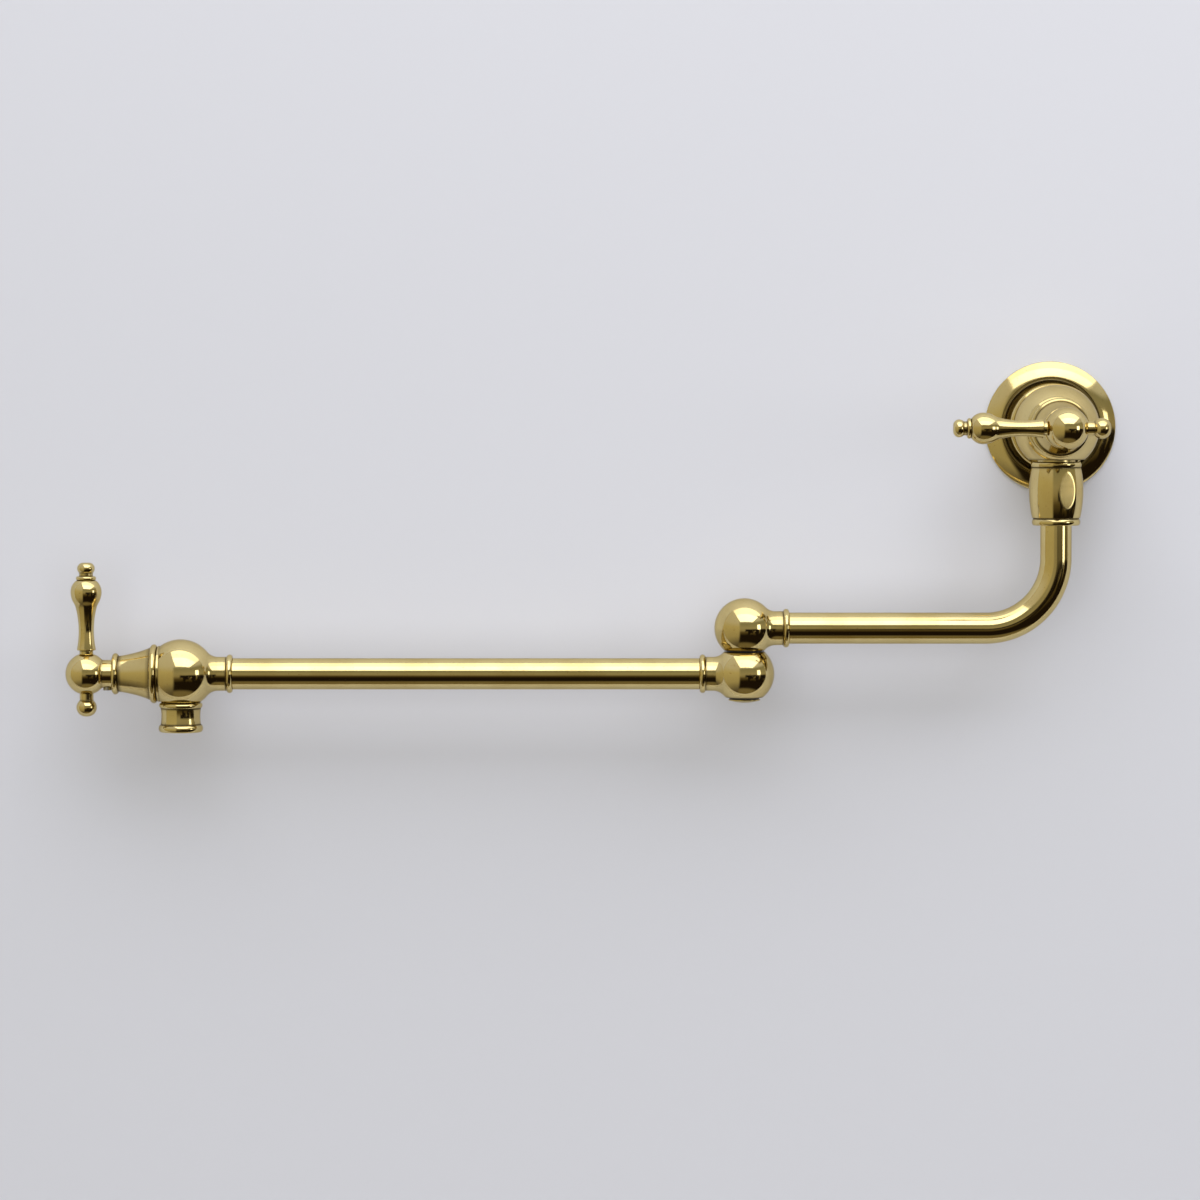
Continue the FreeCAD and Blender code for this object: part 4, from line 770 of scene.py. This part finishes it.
# The spout's valve: the arm's neck, the ball, the seat for the bonnet, the chamber, and the boss below.
def makeSpoutValve(arm, spec):
    seatAt = layout["spoutSeat"]
    floor = seatAt - spec["chamberDepth"]
    steps = [to(arm["waterway"], floor)] + neckSteps(arm, arm["spoutBall"], arm["spoutBead"]) + [
        bulge(spec["seat"], seatAt - spec["collar"], arm["spoutBall"], crisp),
        to(spec["seat"], seatAt, crisp),
        to(spec["chamber"], seatAt),
        to(spec["chamber"], floor),
    ]
    turned("spoutBall", steps, place(spoutCentre, leftward, downward), turnedBrass, "outer_arm",
           "spout_valve_body", turns=240, arcStep=0.026, flats=[((1, 0, 0), spec["flat"])])
    turned("spoutBoss", ring(spec["bossBore"], spec["boss"], spec["flat"] - spec["bossSink"],
                             spec["bossEnd"], softHigh=blunt),
           place(spoutCentre, downward, rightward), castBrass, "outer_arm", "spout_valve_body", turns=96)


makeSpoutValve(armSpec, spoutValveSpec)

nozzleSpec = {
    "top": 16.65, "end": 33.5, "bore": 9.55, "beadWidth": 3.0, "bead": 11.7, "beadRise": 0.8, "waist": 11.6,
    "hollow": 0.4, "foot": 11.8, "footWidth": 4.2, "footRise": 1.0, "lip": 8.4, "lipHeight": 2.2,
    "aeratorTop": 23.65, "aeratorRadius": 9.5, "aeratorBore": 7.9, "aeratorGap": 0.05, "grooveSoft": 0.05,
}


# The nozzle: a bead, a slightly hollow waist and a wider foot with a lip, and the aerator's ring inside.
def makeNozzle(spec):
    base = place(spoutCentre, downward, rightward)
    beadEnd, footAt = spec["top"] + spec["beadWidth"], spec["end"] - spec["footWidth"]
    lipTop = spec["end"] - spec["lipHeight"]
    turned("spoutNozzle", [
        to(spec["bore"], spec["top"]),
        to(spec["bead"], spec["top"], fine),
        bow(spec["bead"], beadEnd, spec["beadRise"], fine),
        to(spec["waist"], beadEnd, spec["grooveSoft"]),
        bow(spec["waist"], footAt, -spec["hollow"], fine),
        to(spec["foot"], footAt, crisp),
        bow(spec["foot"], spec["end"], spec["footRise"], eased),
        to(spec["lip"], spec["end"], rounded),
        to(spec["lip"], lipTop),
        to(spec["bore"], lipTop),
    ], base, turnedBrass, "outer_arm", "spout_nozzle", turns=256, arcStep=0.04)
    aeratorEnd = lipTop - spec["aeratorGap"]
    turned("aeratorHousing", [
        to(spec["aeratorBore"], spec["aeratorTop"]),
        to(spec["aeratorRadius"], spec["aeratorTop"]),
        to(spec["aeratorRadius"], aeratorEnd),
        to(spec["aeratorBore"], aeratorEnd, rounded),
    ], base, castBrass, "outer_arm", "aerator_housing", turns=128)


makeNozzle(nozzleSpec)

# Bonnets and handles are the same at both valves.
bonnetSpec = {
    "bore": 12.55, "beadFoot": 15.2, "foot": 0.5, "beadWidth": 3.9, "beadRise": 1.8, "length": 26.35,
    "smallBead": 3.5, "smallRise": 1.6, "neck": 10.3, "flare": 0.65, "mouth": 8.25, "wall": 2.1,
}


# The bonnet: a large bead, a flare that narrows to a smaller one, and a thin wall inside.
def makeBonnet(side, body, base, spec):
    beadTop = spec["foot"] + spec["beadWidth"]
    smallAt = spec["length"] - spec["smallBead"]
    turned(side + "Bonnet", [
        to(spec["bore"], 0),
        to(spec["beadFoot"], 0, crisp),
        to(spec["beadFoot"], spec["foot"], crisp),
        bow(spec["beadFoot"], beadTop, spec["beadRise"], broken),
        bow(spec["neck"], smallAt, -spec["flare"], fine),
        bow(spec["neck"], spec["length"], spec["smallRise"], eased),
        to(spec["mouth"], spec["length"], rounded),
        to(spec["mouth"], smallAt - spec["wall"]),
        to(spec["bore"], beadTop + spec["wall"]),
    ], base, turnedBrass, body, side + "_bonnet", turns=224, arcStep=0.035)


handleSpec = {
    "hub": 12.1, "hubNeck": 8.0, "hubCove": 1.5, "hubFoot": -16.1, "bore": 4.05, "stemEnd": 3.0,
    "tenon": 3.0, "tenonEnd": 5.8, "recess": 10.9, "rod": 3.95,
    "footStart": 13.6, "foot": 5.4, "footEdge": 0.7, "waistEnd": 39.6, "waistRadius": 6.4, "waistHollow": 1.5,
    "bulbAt": 47.2, "bulb": 8.9, "collarStart": 53.7, "collarFoot": 5.7, "collarWidth": 2.5,
    "collarRise": 0.9, "collarRoot": 4.9, "tipAt": 60.6, "tipRound": 3.4, "tipCore": 1.65,
    "ballAt": 19.4, "ballRound": 5.2, "ballCore": 0.65,
    "screwAt": 29.2, "screw": 2.5, "screwStart": 4.0, "screwEnd": 9.5,
    "key": 1.4, "keyDepth": 2.2, "keyRim": 0.12, "keyClear": 0.1, "waistSoft": 1.2,
}


# The knob on a rod's end: a bulge whose middle lies off the axis by the core, and a flat end as wide.
def knobSteps(spec, which, soft):
    at, radius, core = (spec[which + part] for part in ("At", "Round", "Core"))
    foot = at - math.sqrt(radius ** 2 - (spec["rod"] - core) ** 2)
    return [to(spec["rod"], foot, soft), bulge(core, at + radius, radius), to(0, at + radius)]


# The handle: a ball hub on the stem, a lever with a waist, a bulb, a collar and a knob, a short knob on
# the other side for balance, and a set screw with a hexagon key in the hub's neck.
def makeHandle(side, body, hubBase, leverBase, ballBase, spec):
    collarEnd, keyFloor = spec["collarStart"] + spec["collarWidth"], spec["screwEnd"] - spec["keyDepth"]
    turned(side + "Hub", [
        to(0, spec["stemEnd"]),
        to(spec["bore"], spec["stemEnd"]),
        to(spec["bore"], spec["hubFoot"]),
        to(spec["hubNeck"], spec["hubFoot"], rounded),
        *coveSteps(spec["hub"], spec["hubNeck"], spec["hubCove"]),
        bulge(0, spec["hub"], spec["hub"]),
    ], hubBase, turnedBrass, body, side + "_hub", turns=256, arcStep=0.03)
    root = [
        to(0, spec["tenonEnd"]),
        to(spec["tenon"], spec["tenonEnd"]),
        to(spec["tenon"], spec["recess"]),
        to(spec["rod"], spec["recess"]),
    ]
    backRadius = arcRadius(spec["bulbAt"] - spec["waistEnd"], spec["bulb"] - spec["waistRadius"])
    crownRadius = arcRadius(spec["collarStart"] - spec["bulbAt"], spec["bulb"] - spec["collarFoot"])
    turned(side + "Lever", root + [
        to(spec["rod"], spec["footStart"], crisp),
        to(spec["foot"], spec["footStart"], broken),
        to(spec["foot"], spec["footStart"] + spec["footEdge"], eased),
        bow(spec["waistRadius"], spec["waistEnd"], -spec["waistHollow"], spec["waistSoft"]),
        bulge(spec["bulb"], spec["bulbAt"], backRadius),
        bulge(spec["collarFoot"], spec["collarStart"], crownRadius, broken),
        to(spec["collarRoot"], spec["collarStart"], crisp),
        bow(spec["collarRoot"], collarEnd, spec["collarRise"]),
        to(spec["rod"], collarEnd),
        *knobSteps(spec, "tip", crisp),
    ], leverBase, turnedBrass, body, side + "_lever", turns=160, arcStep=0.03)
    turned(side + "Counterball", root + knobSteps(spec, "ball", fine), ballBase, turnedBrass, body,
           side + "_counterball", arcStep=0.04)
    screwOrigin = hubBase[0] + hubBase[1][2] * (spec["screwAt"] - layout["hubDistance"])
    turned(side + "SetScrew", [
        to(0, spec["screwStart"]),
        to(spec["screw"], spec["screwStart"]),
        to(spec["screw"], spec["screwEnd"], rounded),
        to(spec["key"], spec["screwEnd"], crisp),
        to(spec["key"], keyFloor),
        to(0, keyFloor),
    ], (screwOrigin, ballBase[1]), plainMaterials["steel"], body, side + "_set_screw", turns=96,
        polygon=keyedAbove(spec["screwStart"], spec))


valveSpecs = {
    "wall": {"centre": wallCentre, "faces": outward, "points": leftward, "across": upward,
             "seat": layout["wallSeat"], "fixed": "wall_side", "moving": "wall_handle"},
    "spout": {"centre": spoutCentre, "faces": leftward, "points": upward, "across": outward,
              "seat": layout["spoutSeat"], "fixed": "outer_arm", "moving": "spout_handle"},
}
for side, spec in valveSpecs.items():
    centre, faces, points, across = (spec[key] for key in ("centre", "faces", "points", "across"))
    makeBonnet(side, spec["fixed"], shifted(place(centre, faces, downward), spec["seat"]), bonnetSpec)
    hubBase = shifted(place(centre, faces, points), spec["seat"] + layout["hubDistance"])
    back = tuple(-part for part in points)
    makeHandle(side, spec["moving"], hubBase, place(hubBase[0], points, across),
               place(hubBase[0], back, across), handleSpec)
print("valves and handles made")

stageSpec = {
    "wallColor": (0.675, 0.687, 0.775), "floorColor": (0.50, 0.48, 0.45), "wallAt": 0.0004, "floorAt": -0.75,
    "width": 7.0, "depth": 0.16, "height": 4.0, "pipeHole": 0.0365, "holeSides": 96,
}


# A pale matt surface that only shows from its front, so the object can be seen from behind it.
def stageMaterial(name, color, roughness=0.6):
    material, add = newMaterial(name)
    matt = add("ShaderNodeBsdfPrincipled", {"Base Color": color, "Roughness": roughness})
    clear, geometry = add("ShaderNodeBsdfTransparent"), add("ShaderNodeNewGeometry")
    backs = geometry.outputs["Backfacing"]
    mix = add("ShaderNodeMixShader", {0: backs, 1: matt.outputs[0], 2: clear.outputs[0]})
    add("ShaderNodeOutputMaterial", {"Surface": mix.outputs[0]})
    return material


def makeSheet(name, corners, faces, color):
    mesh = bpy.data.meshes.new(name)
    mesh.from_pydata(corners, [], faces)
    mesh.materials.append(stageMaterial(name, color))
    sheet = addObject(name, mesh)


# The wall runs from a round hole for the pipe, hidden by the flange, out to a rectangle: the ray at each
# angle a meets the hole at its radius and the rectangle at the nearer of its two pairs of sides.
def makeStage(spec):
    half, low, wallAt = spec["width"] / 2, spec["floorAt"], spec["wallAt"]
    top, tiny = low + spec["height"], 1e-9
    corner = np.arctan2([low, low, top, top], [-half, half, half, -half])
    even = np.linspace(-math.pi, math.pi, spec["holeSides"], endpoint=False)
    angle = np.unique(np.concatenate([even, corner]))
    across, rise = np.cos(angle), np.sin(angle)
    reach = np.minimum(half / np.maximum(np.abs(across), tiny),
                       np.where(rise > 0, top, -low) / np.maximum(np.abs(rise), tiny))
    rings = [np.stack([radius * across, np.full(len(angle), wallAt), radius * rise], 1)
             for radius in (spec["pipeHole"], reach)]
    here = np.arange(len(angle))
    after = (here + 1) % len(angle)
    faces = np.stack([here + len(angle), after + len(angle), after, here], 1)
    makeSheet("paleWall", np.concatenate(rings).tolist(), faces.tolist(), spec["wallColor"])
    front = wallAt - spec["depth"]
    corners = [(-half, front, low), (half, front, low), (half, wallAt, low), (-half, wallAt, low)]
    makeSheet("paleFloor", corners, [(0, 1, 2, 3)], spec["floorColor"])


makeStage(stageSpec)

# Lamps, by whether polished surfaces mirror them and whether they light matt ones.
lampSpecs = {
    "ceiling": {"at": (0.35, -2.38, 1.75), "aim": (0.35, -2.38, 0), "size": (3.4, 2.44), "power": 60.0,
                "color": (0.98, 0.985, 1.0), "glossy": True, "diffuse": False},
    "overhead": {"at": (0.35, -0.63, 1.75), "aim": (0.35, -0.63, 0), "size": (3.4, 1.06), "power": 16.0,
                 "color": (0.96, 0.98, 1.0), "glossy": True, "diffuse": False},
    "window": {"at": (1.35, -1.05, 0.06), "aim": (-0.2, -0.04, -0.05), "size": (0.42, 0.5), "power": 2.0,
               "color": (0.96, 0.98, 1.0), "glossy": True, "diffuse": True},
    "skylight": {"at": (0.2, -1.25, 1.85), "aim": (0.2, -1.25, 0), "size": (3.6, 1.7), "power": 55.0,
                 "color": (0.98, 0.99, 1.0), "glossy": False, "diffuse": True},
    "fill": {"at": (-0.3, -3.0, 0.05), "aim": (-0.26, 0, -0.05), "size": (4.0, 3.4), "power": 40.0,
             "color": (0.98, 0.99, 1.0), "glossy": False, "diffuse": True},
}


def makeLamp(name, spec):
    lamp = bpy.data.lights.new(name, "AREA")
    lamp.shape = "RECTANGLE"
    lamp.size, lamp.size_y = spec["size"]
    lamp.energy, lamp.color = spec["power"], spec["color"]
    holder = addObject(name, lamp)
    holder.visible_camera = False
    holder.visible_glossy, holder.visible_diffuse = spec["glossy"], spec["diffuse"]
    holder.location = spec["at"]
    gap = np.array(spec["at"]) - np.array(spec["aim"])
    tilt = math.atan2(math.hypot(gap[0], gap[1]), gap[2])
    holder.rotation_euler = (tilt, 0, math.atan2(gap[0], -gap[1]))


for name, spec in lampSpecs.items():
    makeLamp(name, spec)

# The room's own light by direction: colours by the height of the direction, from -1 to 1, in the room and
# on its paler left side, and dark clutter in a band of heights. Behind the wall, and wherever the camera
# looks straight into the room, it is one plain pale colour.
roomSpec = {
    "pale": (0.69, 0.695, 0.735),
    "stops": [(-1.0, (0.20, 0.165, 0.09)), (-0.86, (0.20, 0.165, 0.09)), (-0.76, (0.014, 0.009, 0.005)),
              (-0.42, (0.014, 0.009, 0.005)), (-0.24, (0.10, 0.075, 0.03)), (-0.08, (0.34, 0.30, 0.19)),
              (0.05, (0.38, 0.35, 0.24)), (0.36, (0.28, 0.27, 0.19)), (0.46, (0.60, 0.60, 0.58)),
              (1.0, (0.80, 0.81, 0.84))],
    "sideStops": [(-1.0, (0.05, 0.035, 0.02)), (-0.8, (0.16, 0.14, 0.10)), (-0.45, (0.42, 0.37, 0.22)),
                  (0.12, (0.55, 0.49, 0.29)), (0.40, (0.62, 0.60, 0.54)), (1.0, (0.68, 0.68, 0.69))],
    "sideEdge": (-0.25, -0.40),
    "clutter": {"scale": 4.5, "color": (0.012, 0.008, 0.005), "from": 0.41, "to": 0.47,
                "low": -0.46, "high": -0.06, "fade": 0.06, "side": 0.0, "sideFade": 0.08},
}


def heightRamp(add, height, stops):
    ramp = add("ShaderNodeValToRGB", {"Fac": height})
    marks = ramp.color_ramp.elements
    for index, (level, color) in enumerate(stops):
        position = (level + 1) / 2
        inner = 0 < index < len(stops) - 1
        mark = marks.new(position) if inner else marks[0 if index == 0 else -1]
        mark.position, mark.color = position, (*color, 1)
    return ramp.outputs["Color"]


def makeWorld(spec):
    world = bpy.data.worlds.new("studio")
    scene.world = world
    world.use_nodes = True
    world.node_tree.nodes.clear()
    add = nodeAdder(world.node_tree)
    direction = add("ShaderNodeTexCoord").outputs["Generated"]
    split = add("ShaderNodeSeparateXYZ", {0: direction}).outputs
    height = ranged(add, split["Z"], -1.0, 1.0)
    clutter = spec["clutter"]
    noise = add("ShaderNodeTexNoise", {"Scale": clutter["scale"], "Vector": direction})
    limits = [(noise.outputs["Fac"], clutter["from"], clutter["to"]),
              (split["Z"], clutter["low"], clutter["low"] + clutter["fade"]),
              (split["Z"], clutter["high"] + clutter["fade"], clutter["high"]),
              (split["X"], clutter["side"], clutter["side"] + clutter["sideFade"])]
    crowd, *bands = [ranged(add, *limit, easing="SMOOTHSTEP") for limit in limits]
    for band in bands:
        crowd = reckon(add, "MULTIPLY", crowd, band)
    front = mixed(add, crowd, heightRamp(add, height, spec["stops"]), clutter["color"])
    side = ranged(add, split["X"], *spec["sideEdge"], easing="SMOOTHSTEP")
    room = mixed(add, side, front, heightRamp(add, height, spec["sideStops"]))
    path = add("ShaderNodeLightPath").outputs
    seen = reckon(add, "MAXIMUM", path["Is Camera Ray"], path["Is Transmission Ray"])
    plain = reckon(add, "MAXIMUM", seen, reckon(add, "GREATER_THAN", split["Y"], 0.0))
    color = mixed(add, plain, room, spec["pale"])
    background = add("ShaderNodeBackground", {"Color": color, "Strength": 1.0})
    add("ShaderNodeOutputWorld", {"Surface": background.outputs[0]})


makeWorld(roomSpec)

cameraSpec = {
    "at": (-0.262, -2.6801, 0.0243), "pitch": 2.676, "lens": 138.0, "sensor": 36.0, "clip": (0.05, 50.0),
}


def makeCamera(spec):
    data = bpy.data.cameras.new("camera")
    data.lens, data.sensor_width = spec["lens"], spec["sensor"]
    data.clip_start, data.clip_end = spec["clip"]
    camera = addObject("camera", data)
    camera.location = spec["at"]
    camera.rotation_euler = (math.radians(90 - spec["pitch"]), 0, 0)
    scene.camera = camera


makeCamera(cameraSpec)
scene.view_settings.view_transform = "Standard"

print("stage made")
